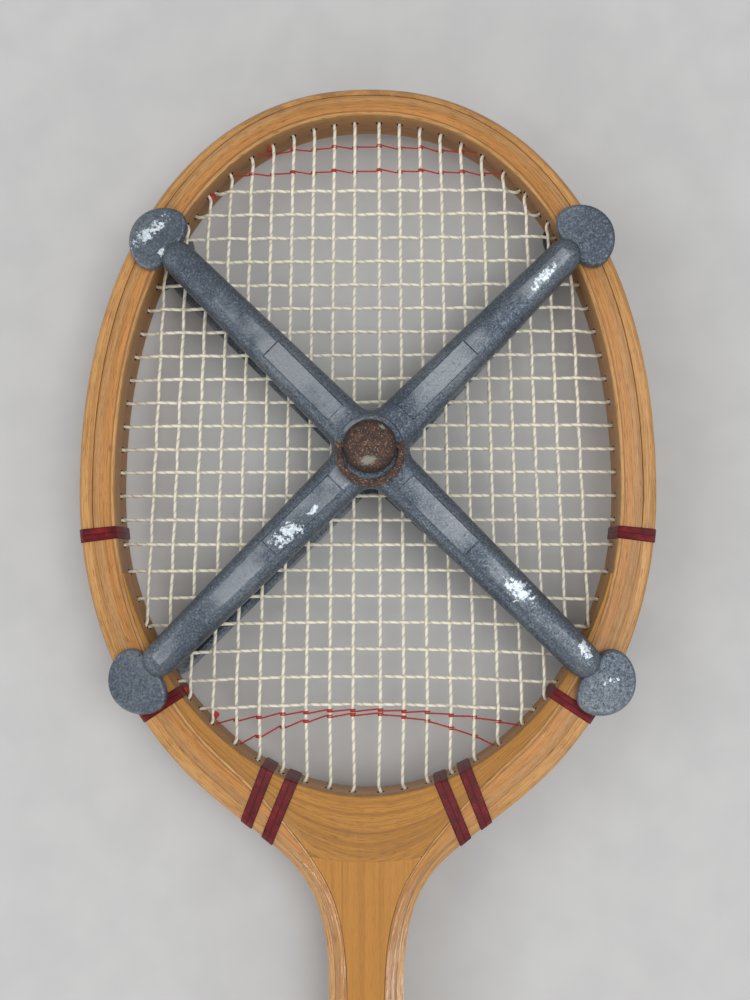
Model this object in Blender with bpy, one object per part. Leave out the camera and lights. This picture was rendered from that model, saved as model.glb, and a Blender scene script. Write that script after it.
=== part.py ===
"""A laminated wooden tennis racket, strung and bound, shut in its cast two-part press.

The racket lies flat. +Y runs along it towards the head, +X across it, +Z up. The origin is
under the middle of the whole object, on the surface that the press stands on. Sizes are
written in millimetres and turned into metres by MM.
"""
import math
from collections import namedtuple

import bmesh
import bpy
import numpy as np

MM = 0.001

# The racket as a whole
LENGTH = 686.0 * MM
FRAME_DEPTH = 19.2 * MM
GLUE_LINE = 0.3 * MM

# The head: a squared oval above its widest line, an ellipse below it. The heights of the
# head and the throat and the spacing of the strings are shares of its half width
HEAD_HALF_WIDTH = 114.0 * MM
HEAD_RISE = 1.4123 * HEAD_HALF_WIDTH
HEAD_SQUARENESS = 2.18
RIM_AT_SIDE = 14.0 * MM
RIM_AT_TOP = 10.9 * MM
STRUNG_DROP = 1.0614 * HEAD_HALF_WIDTH
STRUNG_ROUNDNESS = 1.96
OUTER_STRIP_AT_SIDE = 5.3 * MM
OUTER_STRIP_AT_TOP = 2.8 * MM
HEAD_EDGE_BEVEL = (1.3 * MM, 1.3 * MM)

# Shoulders, throat and shaft
SHOULDER_DROP = 1.2482 * HEAD_HALF_WIDTH
SHOULDER_END_X = 0.58 * HEAD_HALF_WIDTH
THROAT_PULL_ABOVE = 0.39 * HEAD_HALF_WIDTH
THROAT_PULL_BELOW = 0.46 * HEAD_HALF_WIDTH
HEAD_TOP_TO_SHAFT = 3.14 * HEAD_HALF_WIDTH
SHAFT_HALF_WIDTH = 14.3 * MM
SHAFT_EDGE_BEVEL = (6.9 * MM, 5.0 * MM)
YOKE_THICKNESS = 24.5 * MM
LEG_AT_SHAFT = 7.2 * MM
STRIP_AT_SHAFT = 2.6 * MM
THROAT_TAPER_SHARE = 0.6
YOKE_FOOT_REACH = 16.0 * MM
YOKE_FOOT_RISE = 1.1 * MM
HORN_DROP = 0.3333 * HEAD_HALF_WIDTH
STEPS_OVER_TOP = 13
STEPS_TO_BINDING = 2
STEPS_DOWN_SHOULDER = 8
STEPS_DOWN_THROAT = 8
STEPS_ROUND_YOKE = 40
STEPS_ACROSS_FOOT = 8

# Stringing
MAINS = 20
CROSSES = 22
MIDDLE_CROSS = 11
MIDDLE_CROSS_DROP = 1.2789 * HEAD_HALF_WIDTH
MAIN_PITCH = 0.0785 * HEAD_HALF_WIDTH
MAIN_FAN = 0.00374
MAIN_PARTING = 0.8 * MM
CROSS_PITCH_UP = 0.0833 * HEAD_HALF_WIDTH
CROSS_PITCH_DOWN = 0.0816 * HEAD_HALF_WIDTH
CROSS_GROWTH_UP = 0.000175 * HEAD_HALF_WIDTH
CROSS_GROWTH_DOWN = 0.00079 * HEAD_HALF_WIDTH
CROSS_BOW = 0.0263 * HEAD_HALF_WIDTH
CROSS_BOW_REACH = 0.658 * HEAD_HALF_WIDTH
FIRST_BOWED_ROW = 4
STRING_SIDE = 1.15 * MM
STRING_WAVE = 0.8 * MM
STRING_LANE = 1.45 * MM
STRING_IN_GROOVE = 0.9 * MM
STRING_TAIL = 0.06
HOLE_SIDE = 1.8 * MM
HOLE_OVERRUN = 4.0 * MM
CROSS_HOLE_LEAN = 1.1
LEAD_IN = 1.3 * MM
CROSSING_TO_RIM = 1.5 * MM
NEAR_RIM = 4.5 * MM
GROOVE_DEPTH = 1.7 * MM
GROOVE_HALF_WIDTH = 2.6 * MM
THROAT_EXIT_X = 0.1912 * HEAD_HALF_WIDTH
THROAT_EXIT_SPREAD = 0.85

# Trebling: fine threads across the mains, each with its distance from the end of the
# head, its fall at the reach given here, and whether it is at the top
TREBLE_SIDE = 0.6 * MM
TREBLE_GAP = 0.3 * MM
TREBLE_TO_RIM = 1.5 * MM
TREBLE_FALL_REACH = 50.0 * MM
TREBLE_ROWS = (
    ("top_trebling_upper", 20.4 * MM, 4.5 * MM, True),
    ("top_trebling_lower", 30.7 * MM, 1.5 * MM, True),
    ("throat_trebling_upper", 31.8 * MM, 3.8 * MM, False),
    ("throat_trebling_lower", 30.3 * MM, 11.8 * MM, False),
)

# Whipped bindings
BINDING_WIDTH = 5.4 * MM
SHOULDER_BINDING_WIDTH = 4.7 * MM
BINDING_THREAD = 0.5 * MM
BINDING_GAP = 0.12 * MM
SIDE_BINDING_CROSS = 14
SHOULDER_BINDING_MAIN = 17
SHOULDER_BINDING_CROSS = 20
SHOULDER_BINDING_LEAN = 0.75
THROAT_BINDING_MAINS = (("inner", 12), ("outer", 13))

# Handle
GRIP_LENGTH = 178.0 * MM
LEATHER = 1.9 * MM
SLEEVE_GAP = 0.3 * MM
PALLET_LEAD = 24.0 * MM
PALLET_EDGE = 0.7 * MM
HANDLE_HALF_WIDTH = 15.9 * MM
HANDLE_HALF_DEPTH = 13.6 * MM
HANDLE_FLAT = 8.4 * MM
HANDLE_SIDE_FLAT = 6.4 * MM
COLLAR_WIDTH = 14.0 * MM
COLLAR_WALL = 1.4 * MM
CAP_DEPTH = 22.0 * MM
CAP_END_WALL = 2.7 * MM
CAP_WALL = 1.3 * MM
CAP_FLARE = 3.4 * MM
CAP_EDGE = 1.2 * MM

# The press
PAD_GAP = 0.8 * MM
SCREW_SEAT_GAP = 0.3 * MM
SCREW_BELOW_HEAD_TOP = 1.2939 * HEAD_HALF_WIDTH
SCREW_OFF_CENTRE = 1.9 * MM
ARM_HEIGHT = 9.5 * MM
ARM_RELIEF = 0.5 * MM
ARM_HALF_WIDTH_HUB = 8.9 * MM
ARM_HALF_WIDTH_END = 6.7 * MM
ARM_ROUNDING = 6.0 * MM
ARM_END_BEFORE_PAD = 7.0 * MM
CROTCH_REACH = 15.3 * MM
PAD_PAST_RIM_HEAD = -0.2 * MM
PAD_PAST_RIM_THROAT = 3.4 * MM
PAD_TURN_SHARE = 0.7
PAD_HALF_LENGTH = 13.5 * MM
PAD_HALF_DEPTH = 10.1 * MM
PAD_CURL = 2.2 * MM
PAD_THICKNESS = 3.7 * MM
PAD_ROUNDING = 1.4 * MM
CASTING_WALL = 2.5 * MM
CASTING_ROOF = 2.8 * MM
CHANNEL_START = 19.0 * MM
CHANNEL_END_BEFORE_PAD = 21.0 * MM
PANEL_START = 19.0 * MM
PANEL_LENGTH = 36.0 * MM
PANEL_HALF_WIDTH = 4.2 * MM
PANEL_NOTCH = 3.0 * MM
PANEL_DEPTH = 0.7 * MM
LOWER_PRESS_TURN = 1.2
BOSS_RADIUS = 12.8 * MM
BOSS_HEIGHT = 1.2 * MM
BORE_GAP = 0.35 * MM

# Clamp screw and its folding bail
SCREW_RADIUS = 2.4 * MM
SCREW_STRING_GAP = 0.4 * MM
SCREW_TIP_INSET = 1.0 * MM
SCREW_TIP_CHAMFER = 0.8 * MM
SCREW_HEAD_RADIUS = 10.2 * MM
SCREW_HEAD_RIM = 3.0 * MM
SCREW_HEAD_DOME = 4.2 * MM
BAIL_PIVOT_UP = 2.2 * MM
BAIL_MEAN_RADIUS = 12.0 * MM
BAIL_STRAIGHT = 2.2 * MM
BAIL_EAR = 2.0 * MM
BAIL_STRIP = 2.9 * MM
BAIL_THICKNESS = 1.6 * MM
BAIL_PIN_RADIUS = 0.8 * MM
BAIL_PIN_DEPTH = 2.6 * MM
BAIL_PIN_GAP = 0.2 * MM

# Places worked out from the sizes above
HALF_DEPTH = FRAME_DEPTH / 2
MID_Z = ARM_HEIGHT + PAD_GAP + HALF_DEPTH
HEAD_TOP_Y = LENGTH / 2
BUTT_Y = -LENGTH / 2
WIDEST_Y = HEAD_TOP_Y - HEAD_RISE
STRUNG_HALF_WIDTH = HEAD_HALF_WIDTH - RIM_AT_SIDE
STRUNG_RISE = HEAD_RISE - RIM_AT_TOP
SHAFT_TOP_Y = HEAD_TOP_Y - HEAD_TOP_TO_SHAFT
SHOULDER_END_ANGLE = math.acos(SHOULDER_END_X / HEAD_HALF_WIDTH)
HUB_X = SCREW_OFF_CENTRE
HUB_Y = HEAD_TOP_Y - SCREW_BELOW_HEAD_TOP
UPPER_SEAT_Z = MID_Z + HALF_DEPTH + PAD_GAP
LOWER_SEAT_Z = MID_Z - HALF_DEPTH - PAD_GAP
SCREW_HEAD_Z = UPPER_SEAT_Z + ARM_HEIGHT + BOSS_HEIGHT + SCREW_SEAT_GAP
PIVOT_Z = SCREW_HEAD_Z + BAIL_PIVOT_UP
WOOD_END_Y = BUTT_Y + CAP_END_WALL + SLEEVE_GAP
GRIP_START_Y = BUTT_Y + CAP_DEPTH + SLEEVE_GAP
GRIP_END_Y = GRIP_START_Y + GRIP_LENGTH
PALLET_END_Y = GRIP_END_Y + SLEEVE_GAP + COLLAR_WIDTH
PALLET_TAPER_Y = PALLET_END_Y - PALLET_LEAD

Station = namedtuple("Station", "outer inward width strip bevel")
StringEnd = namedtuple("StringEnd", "mouth exit lead turn place lane")


def clear_scene():
    for thing in list(bpy.data.objects):
        bpy.data.objects.remove(thing, do_unlink=True)


def material(name, colour, roughness, metallic=0.0):
    """A plain Principled material."""
    made = bpy.data.materials.new(name)
    made.use_nodes = True
    shader = made.node_tree.nodes["Principled BSDF"]
    shader.inputs["Base Color"].default_value = (*colour, 1.0)
    shader.inputs["Roughness"].default_value = roughness
    shader.inputs["Metallic"].default_value = metallic
    return made


def new_object(name, bm, finish=None, smooth_angle=None, at=(0, 0, 0)):
    """Turns a bmesh into a named object with its faces pointing outwards."""
    bmesh.ops.remove_doubles(bm, verts=bm.verts, dist=1e-6)
    bmesh.ops.recalc_face_normals(bm, faces=bm.faces)
    mesh = bpy.data.meshes.new(name)
    bm.to_mesh(mesh)
    bm.free()
    if smooth_angle is not None:
        mesh.shade_smooth()
        mesh.set_sharp_from_angle(angle=math.radians(smooth_angle))
    if finish is not None:
        mesh.materials.append(finish)
    made = bpy.data.objects.new(name, mesh)
    made.location = at
    bpy.context.scene.collection.objects.link(made)
    return made


def helper(name, bm, at=(0, 0, 0)):
    """A shape that only cuts or joins, hidden from the finished object."""
    made = new_object(name, bm, at=at)
    made.hide_render = True
    made.display_type = "WIRE"
    return made


def combine(target, other, operation="DIFFERENCE"):
    """Adds a Boolean that takes a helper away from an object, or joins it on."""
    step = target.modifiers.new(other.name, "BOOLEAN")
    step.operation = operation
    step.solver = "EXACT"
    step.object = other


def skin(bm, loops, ring=False):
    """Joins loops of points with quads, end to end as a ring or with both ends capped."""
    rows = [[bm.verts.new(point) for point in loop] for loop in loops]
    pairs = list(zip(rows, rows[1:]))
    if ring:
        pairs.append((rows[-1], rows[0]))
    for low, high in pairs:
        for i in range(len(low)):
            j = (i + 1) % len(low)
            bm.faces.new((low[i], low[j], high[j], high[i]))
    if not ring:
        bm.faces.new(rows[0])
        bm.faces.new(rows[-1])


def loft(name, loops, finish, ring=False, smooth_angle=None, at=(0, 0, 0)):
    bm = bmesh.new()
    skin(bm, loops, ring)
    return new_object(name, bm, finish, smooth_angle, at)


def level(outline, z):
    return [(x, y, z) for x, y in outline]


def circle(radius, steps=24):
    turns = [2 * math.pi * i / steps for i in range(steps)]
    return [(radius * math.cos(t), radius * math.sin(t)) for t in turns]


def grown(outline, extra):
    """An outline with every side moved out by the same amount, mitred at its corners."""
    points = np.array(outline)
    after = np.roll(points, -1, axis=0)
    sides = (after - points) / np.linalg.norm(after - points, axis=1)[:, None]
    turning = np.sign((points[:, 0] * after[:, 1] - points[:, 1] * after[:, 0]).sum())
    out = turning * np.stack((sides[:, 1], -sides[:, 0]), axis=1)
    before = np.roll(out, 1, axis=0)
    return points + extra * (out + before) / (1 + (out * before).sum(axis=1))[:, None]


# The edge of the racket is followed by a rim place: 0 at the top of the head, 1 at the
# widest line, 2 at the end of the shoulder and 3 where the shaft begins. A negative place
# is the same spot on the left side.

def head_station(angle):
    """Above the widest line: one squared oval outside and another inside, at one angle."""
    power = 2 / HEAD_SQUARENESS
    across = max(math.cos(angle), 0.0) ** power
    up = math.sin(angle) ** power
    outer = np.array((HEAD_HALF_WIDTH * across, WIDEST_Y + HEAD_RISE * up))
    inner = np.array((STRUNG_HALF_WIDTH * across, WIDEST_Y + STRUNG_RISE * up))
    width = np.linalg.norm(inner - outer)
    fuller = math.cos(angle) ** 2
    strip = OUTER_STRIP_AT_TOP + (OUTER_STRIP_AT_SIDE - OUTER_STRIP_AT_TOP) * fuller
    return Station(outer, (inner - outer) / width, width, strip, HEAD_EDGE_BEVEL)


def shoulder_station(angle):
    """Below the widest line: an ellipse, with the wood an even width inside it."""
    outer = np.array((HEAD_HALF_WIDTH * math.cos(angle), WIDEST_Y - SHOULDER_DROP * math.sin(angle)))
    inward = np.array((-math.cos(angle) / HEAD_HALF_WIDTH, math.sin(angle) / SHOULDER_DROP))
    inward /= np.linalg.norm(inward)
    return Station(outer, inward, RIM_AT_SIDE, OUTER_STRIP_AT_SIDE, HEAD_EDGE_BEVEL)


def throat_curve():
    """The four Bezier points from the end of the shoulder to the top of the shaft."""
    angle = SHOULDER_END_ANGLE
    start = np.array((SHOULDER_END_X, WIDEST_Y - SHOULDER_DROP * math.sin(angle)))
    along = np.array((-HEAD_HALF_WIDTH * math.sin(angle), -SHOULDER_DROP * math.cos(angle)))
    along /= np.linalg.norm(along)
    end = np.array((SHAFT_HALF_WIDTH, SHAFT_TOP_Y))
    return start, start + THROAT_PULL_ABOVE * along, end + np.array((0, THROAT_PULL_BELOW)), end


def eased(start, end, share):
    """From one value to another, slowly at both ends."""
    t = min(max(share, 0.0), 1.0)
    return start + (end - start) * t * t * (3 - 2 * t)


def throat_station(u):
    """Down the throat, where the wood thins and its edge bevel grows into the shaft's flats."""
    a, b, c, d = throat_curve()
    v = 1 - u
    outer = v ** 3 * a + 3 * v * v * u * b + 3 * v * u * u * c + u ** 3 * d
    along = v * v * (b - a) + 2 * v * u * (c - b) + u * u * (d - c)
    along /= np.linalg.norm(along)
    bevel = tuple(eased(p, q, u) for p, q in zip(HEAD_EDGE_BEVEL, SHAFT_EDGE_BEVEL))
    width = eased(RIM_AT_SIDE, LEG_AT_SHAFT, u / THROAT_TAPER_SHARE)
    strip = eased(OUTER_STRIP_AT_SIDE, STRIP_AT_SHAFT, u / THROAT_TAPER_SHARE)
    return Station(outer, np.array((along[1], -along[0])), width, strip, bevel)


def shaft_station(y):
    outer = np.array((SHAFT_HALF_WIDTH, y))
    return Station(outer, np.array((-1.0, 0.0)), LEG_AT_SHAFT, STRIP_AT_SHAFT, SHAFT_EDGE_BEVEL)


def mirrored(station):
    flip = np.array((-1.0, 1.0))
    return station._replace(outer=station.outer * flip, inward=station.inward * flip)


def rim_station(place):
    """The station at a rim place, on the left side where the place is negative."""
    size = abs(place)
    if size <= 1:
        found = head_station(math.pi / 2 * (1 - size))
    elif size <= 2:
        found = shoulder_station(SHOULDER_END_ANGLE * (size - 1))
    else:
        found = throat_station(size - 2)
    return mirrored(found) if place < 0 else found


def rim_middle(place):
    station = rim_station(place)
    return station.outer + station.inward * station.width / 2


def halved(low, high, too_low):
    """The value between two others at which a test turns from true to false."""
    for _ in range(40):
        middle = (low + high) / 2
        if too_low(middle):
            low = middle
        else:
            high = middle
    return (low + high) / 2


def rim_place_at_x(x):
    """The rim place below the widest line that lies a given way out from the middle."""
    found = halved(1.0, 3.0, lambda place: rim_station(place).outer[0] > abs(x))
    return math.copysign(found, x)


def rim_place_at_drop(drop):
    """The rim place on the shoulder at a distance below the widest line."""
    return 1 + math.asin(drop / SHOULDER_DROP) / SHOULDER_END_ANGLE


# Stringing

def strung_edge_y(x, upper):
    """The inside of the rim at x, on its upper or its lower half."""
    rise, power = (STRUNG_RISE, HEAD_SQUARENESS) if upper else (-STRUNG_DROP, STRUNG_ROUNDNESS)
    return WIDEST_Y + rise * (1 - min(abs(x) / STRUNG_HALF_WIDTH, 1.0) ** power) ** (1 / power)


def strung_edge_x(y):
    """Half the width inside the rim at y."""
    above = y > WIDEST_Y
    reach, power = (STRUNG_RISE, HEAD_SQUARENESS) if above else (STRUNG_DROP, STRUNG_ROUNDNESS)
    return STRUNG_HALF_WIDTH * (1 - min(abs(y - WIDEST_Y) / reach, 1.0) ** power) ** (1 / power)


def main_x(main, y):
    """Mains fan out a little towards the throat, and part in the middle for the screw."""
    number = main - (MAINS - 1) / 2
    return number * (MAIN_PITCH - MAIN_FAN * (y - HUB_Y)) + math.copysign(MAIN_PARTING, number)


def cross_y(cross, x):
    """Crosses open up away from the middle, the low ones sag, and one steps round the screw."""
    above = MIDDLE_CROSS - cross
    middle = HEAD_TOP_Y - MIDDLE_CROSS_DROP
    if above >= 0:
        y = middle + CROSS_PITCH_UP * above + CROSS_GROWTH_UP * above ** 2
    else:
        bowed = max(0.0, (-above - FIRST_BOWED_ROW) / (CROSSES - 1 - MIDDLE_CROSS - FIRST_BOWED_ROW))
        y = middle + CROSS_PITCH_DOWN * above - CROSS_GROWTH_DOWN * above ** 2
        y -= CROSS_BOW * bowed * (x / CROSS_BOW_REACH) ** 2
    clear = SCREW_RADIUS + SCREW_STRING_GAP + STRING_SIDE / 2
    if abs(x - HUB_X) < MAIN_PITCH and abs(y - HUB_Y) < clear:
        y = HUB_Y + math.copysign(clear, y - HUB_Y)
    return y


def string_end(mouth, place, lane):
    """A drilled hole, with the points where the string enters it and turns behind it."""
    outside = rim_station(place).outer
    way = (outside - mouth) / np.linalg.norm(outside - mouth)
    return StringEnd(mouth, outside, mouth - LEAD_IN * way, outside - STRING_IN_GROOVE * way, place, lane)


def main_end(main, upper):
    """Where a main meets the rim; at the throat its hole slants out to the side."""
    y = WIDEST_Y
    for _ in range(8):
        x = main_x(main, y)
        y = strung_edge_y(x, upper)
    if upper:
        place = 1 - math.acos((abs(x) / STRUNG_HALF_WIDTH) ** (HEAD_SQUARENESS / 2)) / (math.pi / 2)
        place = math.copysign(place, x)
    else:
        place = rim_place_at_x(math.copysign(THROAT_EXIT_X + THROAT_EXIT_SPREAD * abs(x), x))
    return string_end(np.array((x, y)), place, STRING_LANE)


def cross_end(cross, side):
    """Where a cross meets the rim on one side."""
    x = side * STRUNG_HALF_WIDTH
    for _ in range(8):
        y = cross_y(cross, x)
        x = side * strung_edge_x(y)
    if y > WIDEST_Y:
        place = 1 - math.asin(((y - WIDEST_Y) / STRUNG_RISE) ** (HEAD_SQUARENESS / 2)) / (math.pi / 2)
    else:
        place = rim_place_at_drop(CROSS_HOLE_LEAN * (WIDEST_Y - y))
    return string_end(np.array((x, y)), side * place, -STRING_LANE)


# Places on the rim that follow the strings

def inside_bow(station):
    """A point on the side of the yoke or of the wedge, just inside the bow."""
    return station.outer + station.inward * (station.width + GLUE_LINE)


def yoke_foot_y(x):
    """The underside of the yoke, which curves up a little towards the legs of the bow."""
    return WIDEST_Y - STRUNG_DROP - YOKE_THICKNESS + YOKE_FOOT_RISE * (x / YOKE_FOOT_REACH) ** 2


def height_over_foot(place, below):
    """How far the bow's inner face at a place lies above the yoke's foot, or below it."""
    x, y = inside_bow(rim_station(place))
    return y - (yoke_foot_y(x) - below)


def midway(first, second, share=0.5):
    """The rim place between where two strings leave their holes, a share of the way along."""
    return first.place + (second.place - first.place) * share


BINDING_PLACE = midway(cross_end(SIDE_BINDING_CROSS, 1), cross_end(SIDE_BINDING_CROSS + 1, 1))
STRIP_END = GLUE_LINE / 2 / (SHOULDER_DROP * SHOULDER_END_ANGLE)
HORN_PLACE = rim_place_at_drop(HORN_DROP)
YOKE_FOOT_PLACE = halved(2.0, 3.0, lambda place: height_over_foot(place, 0.0) > 0)
WEDGE_TOP_PLACE = halved(2.0, 3.0, lambda place: height_over_foot(place, GLUE_LINE) > 0)
SHOULDER_PLACES = np.linspace(BINDING_PLACE, 2, STEPS_DOWN_SHOULDER + 1)
THROAT_PLACES = np.linspace(2, 3, STEPS_DOWN_THROAT + 1)


def side_places(start):
    """The rim places from the side binding down to the top of the shaft."""
    return [start, *SHOULDER_PLACES[1:], *THROAT_PLACES[1:]]


def head_places():
    """The rim places over the top of the head, from the left binding to the right one."""
    side = np.linspace(1, BINDING_PLACE, STEPS_TO_BINDING + 1)
    half = [*np.linspace(0, 1, STEPS_OVER_TOP + 1)[1:], *side[1:]]
    return [-place for place in reversed(half)] + [0.0] + half


def crossing(main, cross):
    """The point where a main and a cross meet."""
    x = 0.0
    for _ in range(6):
        y = cross_y(cross, x)
        x = main_x(main, y)
    return np.array((x, y))


def weave(main_ends, cross_ends):
    """Every crossing inside the rim, with +1 where the main lies over the cross."""
    found = {}
    for main in range(MAINS):
        for cross in range(CROSSES):
            spot = crossing(main, cross)
            (top, bottom), (left, right) = main_ends[main], cross_ends[cross]
            inside = bottom.lead[1] + CROSSING_TO_RIM < spot[1] < top.lead[1] - CROSSING_TO_RIM
            inside &= left.lead[0] + CROSSING_TO_RIM < spot[0] < right.lead[0] - CROSSING_TO_RIM
            if inside:
                nearest = min(np.linalg.norm(spot - end.lead) for end in (top, bottom, left, right))
                over = 1 if nearest < NEAR_RIM or (main + cross) % 2 == 0 else -1
                found[main, cross] = (spot, over)
    return found


def groove_point(place, lane):
    station = rim_station(place)
    return (*(station.outer + station.inward * STRING_IN_GROOVE), MID_Z + lane)


def threaded(runs, first_tail, last_tail):
    """Joins the runs of one string through its holes and along the outside groove."""
    first, last = runs[0][0], runs[-1][2]
    path = [groove_point(first.place + first_tail, first.lane)]
    for number, (start, middle, finish) in enumerate(runs):
        z = MID_Z + start.lane
        path += [(*start.turn, z), (*start.lead, z), *middle, (*finish.lead, z), (*finish.turn, z)]
        if number + 1 < len(runs):
            path.append(groove_point((finish.place + runs[number + 1][0].place) / 2, start.lane))
    path.append(groove_point(last.place + last_tail, last.lane))
    return path


def square_cord(name, path, side, finish):
    """A string as a four-sided tube, kept upright and mitred at each bend."""
    points = np.array(path)
    ahead = np.diff(points, axis=0)
    ahead /= np.linalg.norm(ahead, axis=1)[:, None]
    onward = np.vstack((ahead, ahead[-1:]))
    along = np.vstack((ahead[:1], ahead)) + onward
    along /= np.linalg.norm(along, axis=1)[:, None]
    across = np.cross(along, (0.0, 0.0, 1.0))
    across /= np.linalg.norm(across, axis=1)[:, None]
    upright = np.cross(across, along)
    mitre = 1 / np.maximum((along * onward).sum(axis=1), 0.74)[:, None]
    corners = ((-1, -1), (1, -1), (1, 1), (-1, 1))
    rings = [points + side / 2 * (i * mitre * across + j * upright) for i, j in corners]
    loops = [[tuple(ring[k]) for ring in rings] for k in range(len(points))]
    return loft(name, loops, finish)


def hole_cutter(ends):
    """Square bars along every drilled hole, long enough to pass both faces."""
    bm = bmesh.new()
    half = HOLE_SIDE / 2
    for end in ends:
        way = (end.exit - end.mouth) / np.linalg.norm(end.exit - end.mouth)
        beside = np.array((-way[1], way[0]))
        loops = []
        for point in (end.mouth - HOLE_OVERRUN * way, end.exit + HOLE_OVERRUN * way):
            loops.append([(*(point + i * half * beside), MID_Z + end.lane + j * half)
                          for i, j in ((-1, -1), (1, -1), (1, 1), (-1, 1))])
        skin(bm, loops)
    return helper("string_holes", bm)


def string_bed(finish):
    """Both strings, each one unbroken length through every hole that it uses."""
    main_ends = [(main_end(main, True), main_end(main, False)) for main in range(MAINS)]
    cross_ends = [(cross_end(cross, -1), cross_end(cross, 1)) for cross in range(CROSSES)]
    crossings = weave(main_ends, cross_ends)
    main_runs, cross_runs, main_lines = [], [], []
    for main, (top, bottom) in enumerate(main_ends):
        line = [(*crossings[main, cross][0], MID_Z + crossings[main, cross][1] * STRING_WAVE)
                for cross in range(CROSSES) if (main, cross) in crossings]
        main_lines.append([(*top.lead, MID_Z + top.lane), *line, (*bottom.lead, MID_Z + bottom.lane)])
        main_runs.append((top, line, bottom) if main % 2 == 0 else (bottom, line[::-1], top))
    for cross, (left, right) in enumerate(cross_ends):
        line = [(*crossings[main, cross][0], MID_Z - crossings[main, cross][1] * STRING_WAVE)
                for main in range(MAINS) if (main, cross) in crossings]
        cross_runs.append((left, line, right) if cross % 2 == 0 else (right, line[::-1], left))
    square_cord("main_string", threaded(main_runs, -STRING_TAIL, STRING_TAIL), STRING_SIDE, finish)
    square_cord("cross_string", threaded(cross_runs, STRING_TAIL, -STRING_TAIL), STRING_SIDE, finish)
    return main_ends, cross_ends, main_lines


def trebling(name, from_end, fall, at_top, main_lines, finish):
    """A fine thread across the mains: over the ones that lie low, under the ones that lie high."""
    middle = HEAD_TOP_Y - from_end if at_top else WIDEST_Y - STRUNG_DROP + from_end

    def row_y(x):
        return middle - fall * (x / TREBLE_FALL_REACH) ** 2

    reach = STRUNG_HALF_WIDTH / 2
    for _ in range(30):
        reach = strung_edge_x(row_y(reach))
    reach -= TREBLE_TO_RIM
    apart = (STRING_SIDE + TREBLE_SIDE) / 2 + TREBLE_GAP
    path = []
    for main, line in enumerate(main_lines):
        x = 0.0
        for _ in range(6):
            y = row_y(x)
            x = main_x(main, y)
        if abs(x) < reach - STRING_SIDE and line[-1][1] < y < line[0][1]:
            z = float(np.interp(y, [p[1] for p in reversed(line)], [p[2] for p in reversed(line)]))
            path.append((x, y, z - apart if z > MID_Z else z + apart))
    ends = [(side * reach, row_y(reach)) for side in (-1, 1)]
    path = [(*ends[0], path[0][2]), *path, (*ends[1], path[-1][2])]
    square_cord(name, path, TREBLE_SIDE, finish)


# Bindings

def whipping(name, outer_places, inner_points, finish):
    """A band of thread round the wood, between two lines across the rim."""
    outlines = []
    for place, inner in zip(outer_places, inner_points):
        station = rim_station(place)
        way = inner - station.outer
        length = np.linalg.norm(way)
        across, down = station.bevel
        top = [(0.0, HALF_DEPTH - down), (across, HALF_DEPTH), (length, HALF_DEPTH)]
        outlines.append((station.outer, way / length, top + [(d, -z) for d, z in reversed(top)]))
    loops = []
    for extra, order in ((BINDING_GAP + BINDING_THREAD, outlines), (BINDING_GAP, outlines[::-1])):
        for start, way, section in order:
            loops.append([(*(start + way * d), MID_Z + z) for d, z in grown(section, extra)])
    return loft(name, loops, finish, ring=True, smooth_angle=30)


def spread_place(place, width):
    """The two rim places at the edges of a binding."""
    small = 0.001
    speed = np.linalg.norm(rim_station(place + small).outer - rim_station(place).outer) / small
    return place - width / 2 / speed, place + width / 2 / speed


def spread_inner(x, width):
    """The two points of the strung edge at the edges of a binding, the outer one first."""
    small = 0.1 * MM
    slope = (strung_edge_y(x + small, False) - strung_edge_y(x, False)) / small
    step = width / 2 / math.hypot(1, slope)
    return [np.array((p, strung_edge_y(p, False))) for p in (x + step, x - step)]


def bindings(finish):
    """Two at the sides, two low on the shoulders and two pairs at the throat."""
    side = spread_place(BINDING_PLACE, BINDING_WIDTH)
    side_inner = [rim_station(p).outer + rim_station(p).inward * RIM_AT_SIDE for p in side]
    bands = [("side_binding", side, side_inner)]
    below, above = main_end(SHOULDER_BINDING_MAIN, False), main_end(SHOULDER_BINDING_MAIN + 1, False)
    inner_x = (below.mouth[0] + cross_end(SHOULDER_BINDING_CROSS, 1).mouth[0]) / 2
    outside = midway(below, above, SHOULDER_BINDING_LEAN)
    bands.append(("shoulder_binding", spread_place(outside, SHOULDER_BINDING_WIDTH),
                  spread_inner(inner_x, SHOULDER_BINDING_WIDTH)))
    for which, main in THROAT_BINDING_MAINS:
        before, here, after = (main_end(number, False) for number in (main - 1, main, main + 1))
        inner_x = (here.mouth[0] + after.mouth[0]) / 2
        bands.append((f"throat_binding_{which}", spread_place(midway(before, here), BINDING_WIDTH),
                      spread_inner(inner_x, BINDING_WIDTH)))
    flip = np.array((-1.0, 1.0))
    for name, places, inner in bands:
        whipping(f"right_{name}", places, inner, finish)
        whipping(f"left_{name}", [-place for place in places], [point * flip for point in inner], finish)


# Wood

def lamination(name, stations, near, far, groove, finish):
    """One bent strip of wood between two depths from the racket's outer edge.

    near and far give those depths at a station. Its top and bottom follow the edge bevel,
    and its outer face holds the string groove where the list groove gives a depth.
    """
    loops = []
    for station, hollow in zip(stations, groove or [None] * len(stations)):
        across, down = station.bevel
        outer, inner = near(station), far(station)
        bend = min(max(across, outer + GLUE_LINE), inner - GLUE_LINE)
        top = [(d, HALF_DEPTH - down * max(0.0, 1 - d / across)) for d in (outer, bend, inner)]
        section = top + [(d, -z) for d, z in reversed(top)]
        if hollow is not None:
            floor = outer + hollow
            section += [(outer, -GROOVE_HALF_WIDTH), (floor, -GROOVE_HALF_WIDTH),
                        (floor, GROOVE_HALF_WIDTH), (outer, GROOVE_HALF_WIDTH)]
        loops.append([(*(station.outer + station.inward * d), MID_Z + z) for d, z in section])
    return loft(name, loops, finish, smooth_angle=35)


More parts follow.
